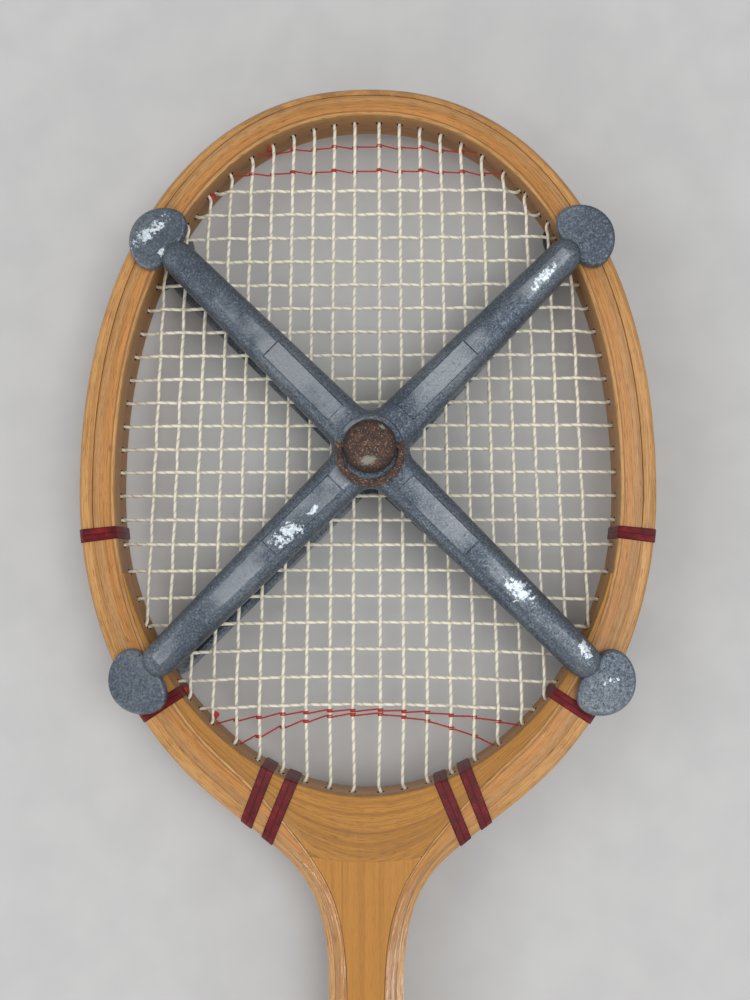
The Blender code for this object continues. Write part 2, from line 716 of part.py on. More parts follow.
def board(name, outline, finish):
    """A flat piece of wood through the whole depth of the frame."""
    loops = [level(outline, MID_Z - HALF_DEPTH), level(outline, MID_Z + HALF_DEPTH)]
    return loft(name, loops, finish, smooth_angle=35)


def mirror_run(points):
    return [(-x, y) for x, y in points]


def throat_yoke(finish):
    """The crescent across the throat, with horns that run up inside the bow."""
    power = 2 / STRUNG_ROUNDNESS
    tip_drop = WIDEST_Y - inside_bow(rim_station(HORN_PLACE))[1]
    start = math.asin((tip_drop / STRUNG_DROP) ** (STRUNG_ROUNDNESS / 2))
    turns = np.linspace(start, math.pi - start, STEPS_ROUND_YOKE + 1)
    edge = [(math.copysign(abs(math.cos(t)) ** power, math.cos(t)) * STRUNG_HALF_WIDTH,
             WIDEST_Y - STRUNG_DROP * math.sin(t) ** power) for t in turns]
    between = [p for p in side_places(BINDING_PLACE) if HORN_PLACE < p < YOKE_FOOT_PLACE]
    right = [tuple(inside_bow(rim_station(p))) for p in (HORN_PLACE, *between, YOKE_FOOT_PLACE)]
    foot_x = right[-1][0]
    foot = [(x, yoke_foot_y(x)) for x in np.linspace(-foot_x, foot_x, STEPS_ACROSS_FOOT + 1)[1:-1]]
    return board("throat_yoke", edge + mirror_run(right) + foot + right[::-1], finish)


def throat_wedge(finish):
    """The long core that fills the fork under the yoke and runs between the legs to the butt."""
    stations = [rim_station(WEDGE_TOP_PLACE)]
    stations += [rim_station(p) for p in THROAT_PLACES if p > WEDGE_TOP_PLACE]
    right = [tuple(inside_bow(station)) for station in (*stations, shaft_station(WOOD_END_Y))]
    top_x = right[0][0]
    arch = [(x, yoke_foot_y(x) - GLUE_LINE)
            for x in np.linspace(-top_x, top_x, STEPS_ACROSS_FOOT + 1)[1:-1]]
    return board("throat_wedge", mirror_run(right[::-1]) + arch + right, finish)


def wooden_frame(finishes, main_ends, cross_ends):
    """Bow, outer strips, yoke and wedge, drilled for the strings."""
    down = [rim_station(p) for p in side_places(BINDING_PLACE)[1:]] + [shaft_station(WOOD_END_Y)]
    over = [rim_station(p) for p in head_places()]
    drilled = [lamination("inner_bow", [mirrored(s) for s in reversed(down)] + over + down,
                          lambda s: s.strip + GLUE_LINE, lambda s: s.width, None, finishes["bow"])]
    places = head_places()
    places[0] += STRIP_END
    places[-1] -= STRIP_END
    drilled.append(lamination("outer_head_strip", [rim_station(p) for p in places], lambda s: 0.0,
                              lambda s: s.strip, [GROOVE_DEPTH] * len(places), finishes["strip"]))
    last_exit = max(abs(bottom.place) for _, bottom in main_ends) + STRING_TAIL
    run = sorted([*side_places(BINDING_PLACE + STRIP_END), last_exit])
    groove = [GROOVE_DEPTH if p <= last_exit else 0.0 for p in run] + [0.0]
    right = [rim_station(p) for p in run] + [shaft_station(WOOD_END_Y)]
    for side, stations in (("right", right), ("left", [mirrored(s) for s in right])):
        drilled.append(lamination(f"{side}_shoulder_strip", stations, lambda s: 0.0,
                                  lambda s: s.strip, groove, finishes["strip"]))
    drilled.append(throat_yoke(finishes["yoke"]))
    throat_wedge(finishes["wedge"])
    holes = hole_cutter([end for pair in main_ends + cross_ends for end in pair])
    for piece in drilled:
        combine(piece, holes)


# Handle

def octagon(half_width, half_depth, flat, side_flat):
    """Eight corners, clockwise from the right end of the top flat."""
    right = [(flat, half_depth), (half_width, side_flat), (half_width, -side_flat), (flat, -half_depth)]
    return np.array(right + [(-x, z) for x, z in reversed(right)])


SHAFT_OUTLINE = octagon(SHAFT_HALF_WIDTH, HALF_DEPTH, SHAFT_HALF_WIDTH - SHAFT_EDGE_BEVEL[0],
                        HALF_DEPTH - SHAFT_EDGE_BEVEL[1])
HANDLE_OUTLINE = octagon(HANDLE_HALF_WIDTH, HANDLE_HALF_DEPTH, HANDLE_FLAT, HANDLE_SIDE_FLAT)
TAPER_YS = np.linspace(PALLET_TAPER_Y, PALLET_END_Y, 4)


def handle_outline(y):
    """The outside of the pallets, which run down to the shaft at their upper end."""
    share = min(max((y - PALLET_TAPER_Y) / PALLET_LEAD, 0.0), 1.0)
    return HANDLE_OUTLINE * (1 - share) + grown(SHAFT_OUTLINE, PALLET_EDGE) * share


def standing(outline, y):
    return [(x, y, MID_Z + z) for x, z in outline]


def sleeve(name, start, end, inside, outside, finish):
    """A tube round the handle, a given way off the pallets inside and outside."""
    ys = [start, *(y for y in TAPER_YS if start < y < end), end]
    outer = [standing(grown(handle_outline(y), outside), y) for y in ys]
    inner = [standing(grown(handle_outline(y), inside), y) for y in reversed(ys)]
    return loft(name, outer + inner, finish, ring=True, smooth_angle=30)


def pallet(name, way, finish):
    """Half of the handle's shell, a trough that closes over the shaft."""
    bed = grown(SHAFT_OUTLINE, GLUE_LINE)
    seam = GLUE_LINE / 2
    loops = []
    for y in (WOOD_END_Y, *TAPER_YS):
        outer = handle_outline(y)
        section = [(outer[1][0], seam), outer[1], outer[0], outer[7], outer[6], (outer[6][0], seam)]
        section += [(bed[6][0], seam), bed[6], bed[7], bed[0], bed[1], (bed[1][0], seam)]
        loops.append([(x, y, MID_Z + way * z) for x, z in section])
    return loft(name, loops, finish, smooth_angle=30)


def handle(finishes):
    """Pallets, leather grip, its collar and the butt cap."""
    pallet("handle_upper_pallet", 1, finishes["pallet"])
    pallet("handle_lower_pallet", -1, finishes["pallet"])
    sleeve("leather_grip", GRIP_START_Y, GRIP_END_Y, SLEEVE_GAP, SLEEVE_GAP + LEATHER,
           finishes["leather"])
    sleeve("grip_collar", GRIP_END_Y + SLEEVE_GAP, PALLET_END_Y, SLEEVE_GAP, SLEEVE_GAP + COLLAR_WALL,
           finishes["collar"])
    outside = [(BUTT_Y, CAP_FLARE - CAP_EDGE), (BUTT_Y + CAP_EDGE, CAP_FLARE),
               (BUTT_Y + CAP_DEPTH, SLEEVE_GAP + CAP_WALL)]
    inside = [(BUTT_Y + CAP_DEPTH, SLEEVE_GAP), (BUTT_Y + CAP_END_WALL, SLEEVE_GAP)]
    loops = [standing(grown(HANDLE_OUTLINE, extra), y) for y, extra in outside + inside]
    loft("butt_cap", loops, finishes["cap"], smooth_angle=30)


# The press

def pad_seat(rise):
    """The rim place that lies at an angle above or below the hub, seen from the middle line."""
    def above_arm(place):
        x, y = rim_middle(place)
        return math.atan2(y - HUB_Y, x) > rise

    return halved(0.0, 2.0, above_arm)


def arms(turn):
    """The four arms: direction, reach to the pad's middle and the way that the pad faces."""
    for corner in range(4):
        angle = math.pi / 4 + corner * math.pi / 2 + turn
        upper, side = corner < 2, 1 if corner in (0, 3) else -1
        place = pad_seat(math.pi / 4 if upper else -math.pi / 4)
        x, y = rim_middle(place)
        out = -rim_station(place).inward
        lean = side * (math.atan2(out[1], out[0]) - (math.pi / 4 if upper else -math.pi / 4))
        reach = math.hypot(x, y - HUB_Y) + (PAD_PAST_RIM_HEAD if upper else PAD_PAST_RIM_THROAT)
        yield angle, reach, angle + PAD_TURN_SHARE * lean


def on_arm(angle, along, across):
    """A point given by its way along an arm and to the left of it."""
    return (along * math.cos(angle) - across * math.sin(angle),
            along * math.sin(angle) + across * math.cos(angle))


def cross_outline(turn, inset):
    """The X of the press seen from above, with round arm ends and round crotches."""
    slant = math.sqrt(0.5)
    crotch_radius = (CROTCH_REACH * slant - ARM_HALF_WIDTH_HUB) / (1 - slant)
    points = []
    for angle, reach, _ in arms(turn):
        round_centre = reach - ARM_END_BEFORE_PAD - ARM_HALF_WIDTH_END
        radius = ARM_HALF_WIDTH_END - inset
        for t in np.linspace(-math.pi / 2, math.pi / 2, 7):
            points.append(on_arm(angle, round_centre + radius * math.cos(t), radius * math.sin(t)))
        radius = crotch_radius + inset
        for t in np.linspace(-math.pi / 4, math.pi / 4, 5):
            points.append(on_arm(angle + math.pi / 4, CROTCH_REACH + crotch_radius - radius * math.cos(t),
                                 radius * math.sin(t)))
    return points


def pad_outline(angle, reach, facing, inset):
    """A kidney: an ellipse whose ends curl back towards the arm."""
    centre = on_arm(angle, reach, 0.0)
    points = []
    for t in np.linspace(0, 2 * math.pi, 17)[:-1]:
        across = (PAD_HALF_LENGTH - inset) * math.sin(t)
        out = (PAD_HALF_DEPTH - inset) * math.cos(t) - PAD_CURL * (across / PAD_HALF_LENGTH) ** 2
        x, y = on_arm(facing, out, across)
        points.append((centre[0] + x, centre[1] + y))
    return points


def rounded(bm, outline_at, base, top, rounding, steps, way):
    """Stands an outline up, or hangs it down, with its far edge rounded over."""
    loops = [level(outline_at(0.0), way * base)]
    for turn in np.linspace(0, math.pi / 2, steps + 1):
        height = top - rounding * (1 - math.sin(turn))
        loops.append(level(outline_at(rounding * (1 - math.cos(turn))), way * height))
    skin(bm, loops)


def press_half(name, seat_z, way, turn, finish):
    """One half of the press: four hollow arms, each with a pad that bears on the rim."""
    at = (HUB_X, HUB_Y, seat_z)
    body, pads, channels, panels, bore = (bmesh.new() for _ in range(5))
    rounded(body, lambda inset: cross_outline(turn, inset), ARM_RELIEF, ARM_HEIGHT, ARM_ROUNDING, 3, way)
    half_start, half_end = ARM_HALF_WIDTH_HUB - CASTING_WALL, ARM_HALF_WIDTH_END - CASTING_WALL
    for angle, reach, facing in arms(turn):
        rounded(pads, lambda inset: pad_outline(angle, reach, facing, inset), 0.0, PAD_THICKNESS,
                PAD_ROUNDING, 2, way)
        end = reach - CHANNEL_END_BEFORE_PAD
        trough = [on_arm(angle, *corner) for corner in (
            (CHANNEL_START, -half_start), (end, -half_end), (end, half_end), (CHANNEL_START, half_start))]
        skin(channels, [level(trough, way * z) for z in (-PAD_GAP, ARM_HEIGHT - CASTING_ROOF)])
        far = PANEL_START + PANEL_LENGTH
        panel = [on_arm(angle, *corner) for corner in (
            (PANEL_START, -PANEL_HALF_WIDTH), (far, -PANEL_HALF_WIDTH), (far - PANEL_NOTCH, 0.0),
            (far, PANEL_HALF_WIDTH), (PANEL_START, PANEL_HALF_WIDTH))]
        skin(panels, [level(panel, way * z) for z in (ARM_HEIGHT - PANEL_DEPTH, ARM_HEIGHT + PANEL_DEPTH)])
    skin(bore, [level(circle(SCREW_RADIUS + BORE_GAP, 16), z) for z in (-2 * ARM_HEIGHT, 2 * ARM_HEIGHT)])
    made = new_object(name, body, finish, 40, at)
    combine(made, helper(f"{name}_pads", pads, at), "UNION")
    combine(made, helper(f"{name}_channels", channels, at))
    combine(made, helper(f"{name}_panels", panels, at))
    if way > 0:
        boss = bmesh.new()
        skin(boss, [level(circle(BOSS_RADIUS), z) for z in (ARM_HEIGHT / 2, ARM_HEIGHT + BOSS_HEIGHT)])
        combine(made, helper(f"{name}_boss", boss, at), "UNION")
    combine(made, helper(f"{name}_bore", bore, at))


def cross_pin(bm, radius, start, end):
    """A short round bar along X."""
    skin(bm, [[(x, y, z) for y, z in circle(radius, 8)] for x in (start, end)])


def clamp_screw(finish):
    """The screw, turned about its own axis, with a domed head drilled for the bail."""
    tip = SCREW_TIP_INSET - SCREW_HEAD_Z
    profile = [(SCREW_RADIUS - SCREW_TIP_CHAMFER, tip), (SCREW_RADIUS, tip + SCREW_TIP_CHAMFER),
               (SCREW_RADIUS, 0.0), (SCREW_HEAD_RADIUS - SCREW_TIP_CHAMFER, 0.0),
               (SCREW_HEAD_RADIUS, SCREW_TIP_CHAMFER)]
    for turn in np.radians((0, 25, 48, 68, 84)):
        profile.append((SCREW_HEAD_RADIUS * math.cos(turn), SCREW_HEAD_RIM + SCREW_HEAD_DOME * math.sin(turn)))
    at = (HUB_X, HUB_Y, SCREW_HEAD_Z)
    made = loft("clamp_screw", [level(circle(r), z) for r, z in profile], finish, smooth_angle=40, at=at)
    holes = bmesh.new()
    floor = BAIL_MEAN_RADIUS - BAIL_STRIP / 2 - BAIL_PIN_DEPTH - BAIL_PIN_GAP
    for side in (-1, 1):
        cross_pin(holes, BAIL_PIN_RADIUS + BAIL_PIN_GAP, side * floor, side * BAIL_MEAN_RADIUS)
    combine(made, helper("bail_holes", holes, (HUB_X, HUB_Y, PIVOT_Z)))


def screw_bail(finish):
    """The folding bail, a flat strip bent to a U, with a pin in each ear."""
    path = [(BAIL_MEAN_RADIUS, BAIL_EAR, 1.0, 0.0)]
    for turn in np.linspace(0, -math.pi, 15):
        u, v = math.cos(turn), math.sin(turn)
        path.append((BAIL_MEAN_RADIUS * u, BAIL_MEAN_RADIUS * v - BAIL_STRAIGHT, u, v))
    path.append((-BAIL_MEAN_RADIUS, BAIL_EAR, -1.0, 0.0))
    half, thick = BAIL_STRIP / 2, BAIL_THICKNESS / 2
    corners = ((-1, -1), (1, -1), (1, 1), (-1, 1))
    loops = [[(x + i * half * u, y + i * half * v, j * thick) for i, j in corners] for x, y, u, v in path]
    at = (HUB_X, HUB_Y, PIVOT_Z)
    made = loft("screw_bail", loops, finish, smooth_angle=40, at=at)
    pins = bmesh.new()
    inside = BAIL_MEAN_RADIUS - BAIL_STRIP / 2 - BAIL_PIN_DEPTH
    for side in (-1, 1):
        cross_pin(pins, BAIL_PIN_RADIUS, side * inside, side * BAIL_MEAN_RADIUS)
    combine(made, helper("bail_pins", pins, at), "UNION")


def main():
    clear_scene()
    ash = material("ash", (0.62, 0.36, 0.15), 0.4)
    strip = material("outer_ash", (0.66, 0.40, 0.17), 0.4)
    yoke = material("yoke_wood", (0.62, 0.37, 0.16), 0.42)
    pallets = material("pallet_wood", (0.55, 0.33, 0.16), 0.5)
    gut = material("string", (0.78, 0.74, 0.60), 0.5)
    red_thread = material("trebling_thread", (0.55, 0.05, 0.04), 0.6)
    burgundy = material("binding_thread", (0.28, 0.02, 0.04), 0.35)
    casting = material("cast_metal", (0.20, 0.24, 0.29), 0.5, 0.7)
    rust = material("rusty_steel", (0.16, 0.07, 0.04), 0.8, 0.4)
    leather = material("leather", (0.12, 0.06, 0.03), 0.7)
    cap = material("butt_leather", (0.08, 0.05, 0.03), 0.6)
    main_ends, cross_ends, main_lines = string_bed(gut)
    for name, from_end, fall, at_top in TREBLE_ROWS:
        trebling(name, from_end, fall, at_top, main_lines, red_thread)
    wooden_frame({"bow": ash, "strip": strip, "yoke": yoke, "wedge": ash}, main_ends, cross_ends)
    bindings(burgundy)
    handle({"pallet": pallets, "leather": leather, "collar": cap, "cap": cap})
    press_half("upper_press_cross", UPPER_SEAT_Z, 1, 0.0, casting)
    press_half("lower_press_cross", LOWER_SEAT_Z, -1, math.radians(LOWER_PRESS_TURN), casting)
    clamp_screw(rust)
    screw_bail(rust)


main()
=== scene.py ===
"""Looks for the wooden racket shut in its cast press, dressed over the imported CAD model.

Surfaces are grids of points worked out as whole arrays, in metres, in the CAD's own frame:
+Y towards the head, +X across, +Z up, with the origin under the middle of the racket.
"""
import math

import bmesh
import bpy
import numpy as np
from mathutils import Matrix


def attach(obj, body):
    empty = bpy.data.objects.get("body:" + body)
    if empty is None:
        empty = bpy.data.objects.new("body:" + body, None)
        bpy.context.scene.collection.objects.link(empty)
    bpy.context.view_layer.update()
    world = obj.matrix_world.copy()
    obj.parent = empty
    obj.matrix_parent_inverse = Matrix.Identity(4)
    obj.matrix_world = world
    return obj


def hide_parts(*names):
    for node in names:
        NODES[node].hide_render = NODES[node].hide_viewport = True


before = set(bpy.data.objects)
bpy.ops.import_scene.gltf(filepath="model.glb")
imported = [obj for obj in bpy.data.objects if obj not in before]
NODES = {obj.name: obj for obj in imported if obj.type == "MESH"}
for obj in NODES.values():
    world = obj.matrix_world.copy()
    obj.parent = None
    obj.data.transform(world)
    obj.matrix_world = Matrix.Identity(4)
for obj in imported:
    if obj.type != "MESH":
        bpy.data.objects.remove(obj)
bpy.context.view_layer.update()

# Wood
MM = 0.001
LENGTH = 686.0 * MM
HALF_DEPTH = 9.6 * MM
GLUE_LINE = 0.3 * MM
SEAM = 0.04 * MM
WOOD_GAP = 0.05 * MM
PLACE_GAP = 0.001
SHALLOW_GROOVE = 0.02 * MM
BOW_SOFT = 0.7 * MM
STRIP_SOFT = 0.25 * MM
PLY_TOP = 0.8
HEAD_HALF_WIDTH = 114.0 * MM
HEAD_RISE = 1.4123 * HEAD_HALF_WIDTH
HEAD_SQUARENESS = 2.18
RIM_AT_SIDE = 14.0 * MM
RIM_AT_TOP = 10.9 * MM
STRUNG_DROP = 1.0614 * HEAD_HALF_WIDTH
STRUNG_ROUNDNESS = 1.96
STRIP_AT_SIDE = 5.3 * MM
STRIP_AT_TOP = 2.8 * MM
EDGE_BEVEL = (1.3 * MM, 1.3 * MM)
SHOULDER_DROP = 1.2482 * HEAD_HALF_WIDTH
SHOULDER_END_X = 0.58 * HEAD_HALF_WIDTH
THROAT_PULL_ABOVE = 0.39 * HEAD_HALF_WIDTH
THROAT_PULL_BELOW = 0.46 * HEAD_HALF_WIDTH
HEAD_TOP_TO_SHAFT = 3.14 * HEAD_HALF_WIDTH
SHAFT_HALF_WIDTH = 14.3 * MM
SHAFT_BEVEL = (6.9 * MM, 5.0 * MM)
YOKE_THICKNESS = 24.5 * MM
LEG_AT_SHAFT = 7.2 * MM
STRIP_AT_SHAFT = 2.6 * MM
TAPER_SHARE = 0.6
FOOT_REACH = 16.0 * MM
FOOT_RISE = 1.1 * MM
HORN_DROP = 0.3333 * HEAD_HALF_WIDTH

# Strings
MAINS = 20
CROSSES = 22
MIDDLE_CROSS = 11
MIDDLE_CROSS_DROP = 1.2789 * HEAD_HALF_WIDTH
MAIN_PITCH = 0.0785 * HEAD_HALF_WIDTH
MAIN_FAN = 0.00374
MAIN_PARTING = 0.8 * MM
CROSS_PITCH_UP = 0.0833 * HEAD_HALF_WIDTH
CROSS_PITCH_DOWN = 0.0816 * HEAD_HALF_WIDTH
CROSS_GROWTH_UP = 0.000175 * HEAD_HALF_WIDTH
CROSS_GROWTH_DOWN = 0.00079 * HEAD_HALF_WIDTH
CROSS_BOW = 0.0263 * HEAD_HALF_WIDTH
CROSS_BOW_REACH = 0.658 * HEAD_HALF_WIDTH
FIRST_BOWED_ROW = 4
CORD_RADIUS = 0.67 * MM
CORD_WAVE = 0.85 * MM
CORD_LANE = 1.45 * MM
CORD_IN_GROOVE = 0.9 * MM
CORD_TAIL = 0.06
HOLE_RADIUS = 1.42 * MM
HOLE_OVERRUN = 4 * MM
HOLE_SIDES = 10
DRILLED_CHART = 9.0
CROSS_HOLE_LEAN = 1.1
LEAD_IN = 1.3 * MM
END_CLEAR = 1.5 * MM
RIM_CLEAR = 4.5 * MM
SCREW_CLEAR = 3.4 * MM
GROOVE_DEPTH = 1.7 * MM
GROOVE_HALF_WIDTH = 2.6 * MM
GROOVE_SLOPE = 0.3 * MM
EXIT_X = 0.1912 * HEAD_HALF_WIDTH
EXIT_SPREAD = 0.85

# Threads and bindings
THREAD_RADIUS = 0.33 * MM
THREAD_END_RISE = 0.9 * MM
THREAD_CREEP = 0.36 * MM
TREBLE_TO_RIM = 1.0 * MM
TREBLE_TO_MAIN = 1.2 * MM
TREBLE_FALL_REACH = 50.0 * MM
KNOT_RADIUS = 1.5 * MM
BINDING_WIDTH = 5.4 * MM
BINDING_THICKNESS = 0.53 * MM
BINDING_RIDGE = 0.05 * MM
BINDING_THREADS = 9
BINDING_EDGE = 0.2 * MM
BINDING_SINK = 0.1 * MM
SHOULDER_BINDING_WIDTH = 4.7 * MM

# Press, screw and leather
LOWER_CROSS_TURN = math.radians(1.2)
PAD_GAP = 0.8 * MM
HIGH_PAD_PAST = -0.2 * MM
LOW_PAD_PAST = 3.4 * MM
PAD_LEAN = 0.7
PAD_LENGTH = 13.5 * MM
PAD_WIDTH = 10.1 * MM
PAD_CURL = 2.2 * MM
PAD_HEIGHT = 3.7 * MM
PAD_ROUNDING = 1.4 * MM
ARM_HEIGHT = 9.5 * MM
ARM_ROUNDING = 6.0 * MM
ARM_AT_HUB = 8.9 * MM
ARM_AT_END = 6.7 * MM
ARM_SHORT = 7.0 * MM
CROTCH = 15.3 * MM
CHANNEL_START = 19 * MM
CHANNEL_SHORT = 21.0 * MM
CHANNEL_HEIGHT = 6.7 * MM
PANEL_START = 19.0 * MM
PANEL_END = 55.0 * MM
PANEL_HALF_WIDTH = 4.2 * MM
# Panel steps: name, Boolean, inset, low and high
PANEL_STEPS = (("outline", "DIFFERENCE", 0.0, 8.35 * MM, 10.2 * MM),
               ("floor", "UNION", 0.32 * MM, 7.8 * MM, 8.8 * MM))
BOSS_RADIUS = 12.8 * MM
BOSS_HEIGHT = 10.7 * MM
BORE_RADIUS = 2.75 * MM
KNOB_RADIUS = 10.2 * MM
KNOB_DOME = 4.2 * MM
SHANK_RADIUS = 2.28 * MM
SHANK_RIDGE = 0.11 * MM
SHANK_PITCH = 1.0 * MM
BAIL_RADIUS = 12.0 * MM
BAIL_PIN_RADIUS = 0.8 * MM
BAIL_DRILL_RADIUS = 1.0 * MM
LEATHER_PITCH = 23.0 * MM
LEATHER_GAP = 0.3 * MM

# Places worked out from the sizes
MID_Z = 19.9 * MM
HEAD_TOP_Y = LENGTH / 2
BUTT_Y = -LENGTH / 2
WIDEST_Y = HEAD_TOP_Y - HEAD_RISE
STRUNG_HALF_WIDTH = HEAD_HALF_WIDTH - RIM_AT_SIDE
STRUNG_RISE = HEAD_RISE - RIM_AT_TOP
SHAFT_TOP_Y = HEAD_TOP_Y - HEAD_TOP_TO_SHAFT
END_ANGLE = math.acos(SHOULDER_END_X / HEAD_HALF_WIDTH)
HUB_X = 1.9 * MM
HUB_Y = HEAD_TOP_Y - 1.2939 * HEAD_HALF_WIDTH
UPPER_SEAT_Z = MID_Z + HALF_DEPTH + PAD_GAP
LOWER_SEAT_Z = MID_Z - HALF_DEPTH - PAD_GAP
SCREW_HEAD_Z = UPPER_SEAT_Z + 11.0 * MM
PIVOT_Z = SCREW_HEAD_Z + 2.2 * MM
WOOD_END_Y = BUTT_Y + 3.0 * MM
GRIP_START_Y = BUTT_Y + 22.3 * MM
GRIP_END_Y = GRIP_START_Y + 178.0 * MM
PALLET_END_Y = GRIP_END_Y + 14.3 * MM
TAPER_LENGTH = 24.0 * MM

# Lamps: name, place, aim, watts, width and height
LAMPS = (("overhead", (0.72, 0.15, 1.7), (0.0, 0.15, 0.0), 12.6, 1.1, 1.1),
         ("window", (-1.3, 0.35, 1.1), (0.0, 0.15, 0.0), 6.0, 0.9, 0.9),
         ("right_gleam", (1.25, -0.85, 0.62), (0.0, -0.05, 0.02), 3.2, 0.7, 0.08),
         ("left_gleam", (-1.0, -1.0, 0.66), (0.0, -0.05, 0.02), 4.6, 1.0, 0.10))
FLOOR_REACH = 8.0
FLOOR_Z = -0.0004
CAMERA_PLACE = (0.01194, 0.14876, MID_Z + 0.406)
CAMERA_TILT = (math.radians(3.908), math.radians(1.222), 0.0)


# Surfaces

def surface(name, points, finish, around=False, along_closed=False, maps=None, caps=False, smooth=40):
    """A mesh from points[i, j]: quads join neighbours in i and j.

    around joins the last j to the first, along_closed the last i to the first, and caps
    closes the first and last rows. maps holds UV values for each point. They may have one
    more column, for the far side of the seam.
    """
    rows, columns = points.shape[:2]
    i = np.arange(rows if along_closed else rows - 1)[:, None]
    j = np.arange(columns if around else columns - 1)[None, :]
    i, j = np.broadcast_arrays(i, j)
    corner_i = np.stack((i, i + 1, i + 1, i), axis=-1).reshape(-1, 4)
    corner_j = np.stack((j, j, j + 1, j + 1), axis=-1).reshape(-1, 4)
    quads = (corner_i % rows) * columns + corner_j % columns
    faces = quads.tolist()
    if caps:
        last = (rows - 1) * columns
        faces += [list(range(columns)), list(range(last + columns - 1, last - 1, -1))]
    mesh = bpy.data.meshes.new(name)
    mesh.from_pydata(points.reshape(-1, 3).tolist(), [], faces)
    for label, values in (maps or {}).items():
        wrapped = np.concatenate((values, values[:, :1]), axis=1)
        flat = [wrapped[corner_i, corner_j].reshape(-1, 2)]
        if caps:
            flat += [values[0, :columns], values[-1, :columns][::-1]]
        mesh.uv_layers.new(name=label).data.foreach_set("uv", np.concatenate(flat).ravel())
    return placed(name, mesh, finish, smooth)


def placed(name, mesh, finish, smooth=40):
    """An object at the origin with outward faces and a material."""
    bm = bmesh.new()
    bm.from_mesh(mesh)
    bmesh.ops.remove_doubles(bm, verts=bm.verts, dist=1e-7)
    bmesh.ops.recalc_face_normals(bm, faces=bm.faces)
    bm.to_mesh(mesh)
    bm.free()
    shade(mesh, smooth)
    if finish is not None:
        mesh.materials.append(finish)
    made = bpy.data.objects.new(name, mesh)
    bpy.context.scene.collection.objects.link(made)
    return made


def shade(mesh, smooth):
    """Smooth shading, sharp where faces meet at more than smooth degrees."""
    mesh.shade_smooth()
    mesh.set_sharp_from_angle(angle=math.radians(smooth))


def carved(base, steps, smooth, keep=False):
    """Runs exact Booleans on a piece, bakes the result, and drops the tools unless they are kept."""
    for operation, tool in steps:
        step = base.modifiers.new(tool.name, "BOOLEAN")
        step.operation = operation
        step.solver = "EXACT"
        step.object = tool
    bpy.context.view_layer.update()
    shape = base.evaluated_get(bpy.context.evaluated_depsgraph_get())
    mesh = bpy.data.meshes.new_from_object(shape)
    base.modifiers.clear()
    base.data = mesh
    shade(mesh, smooth)
    if not keep:
        for _, tool in steps:
            bpy.data.objects.remove(tool, do_unlink=True)
    return base


def dress(piece, body, slot, *nodes):
    """Lets a piece ride on its body and stand for its CAD nodes."""
    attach(piece, body)
    if nodes:
        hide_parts(*nodes)


def eased(start, end, share):
    """From start to end by 3t^2 - 2t^3, held at both ends."""
    t = np.clip(share, 0.0, 1.0)
    return start + (end - start) * t * t * (3 - 2 * t)


def unit(v):
    """Each row of v over its own length."""
    return v / np.linalg.norm(v, axis=-1, keepdims=True)


def circle(count):
    """The angles of a whole turn in even steps, without its end."""
    return np.linspace(0, 2 * math.pi, count + 1)[:-1]


def reached(points):
    """The distance along a line of points at each of them."""
    return np.concatenate(((0.0,), np.cumsum(np.linalg.norm(np.diff(points, axis=0), axis=1))))


def between(ends, share):
    """Rows between the first and the second of two values, at each share of the way."""
    return ends[0] + (ends[1] - ends[0]) * share[:, None]


def upright_rows(flat, heights):
    """Rows of plan points at given heights: flat[i, j, 2] with heights[i, j] above MID_Z."""
    return np.concatenate((flat, (MID_Z + heights)[..., None]), axis=-1)


# The rim, followed by a place: 0 top, 1 widest, 2 shoulder's end, 3 shaft, 4 butt

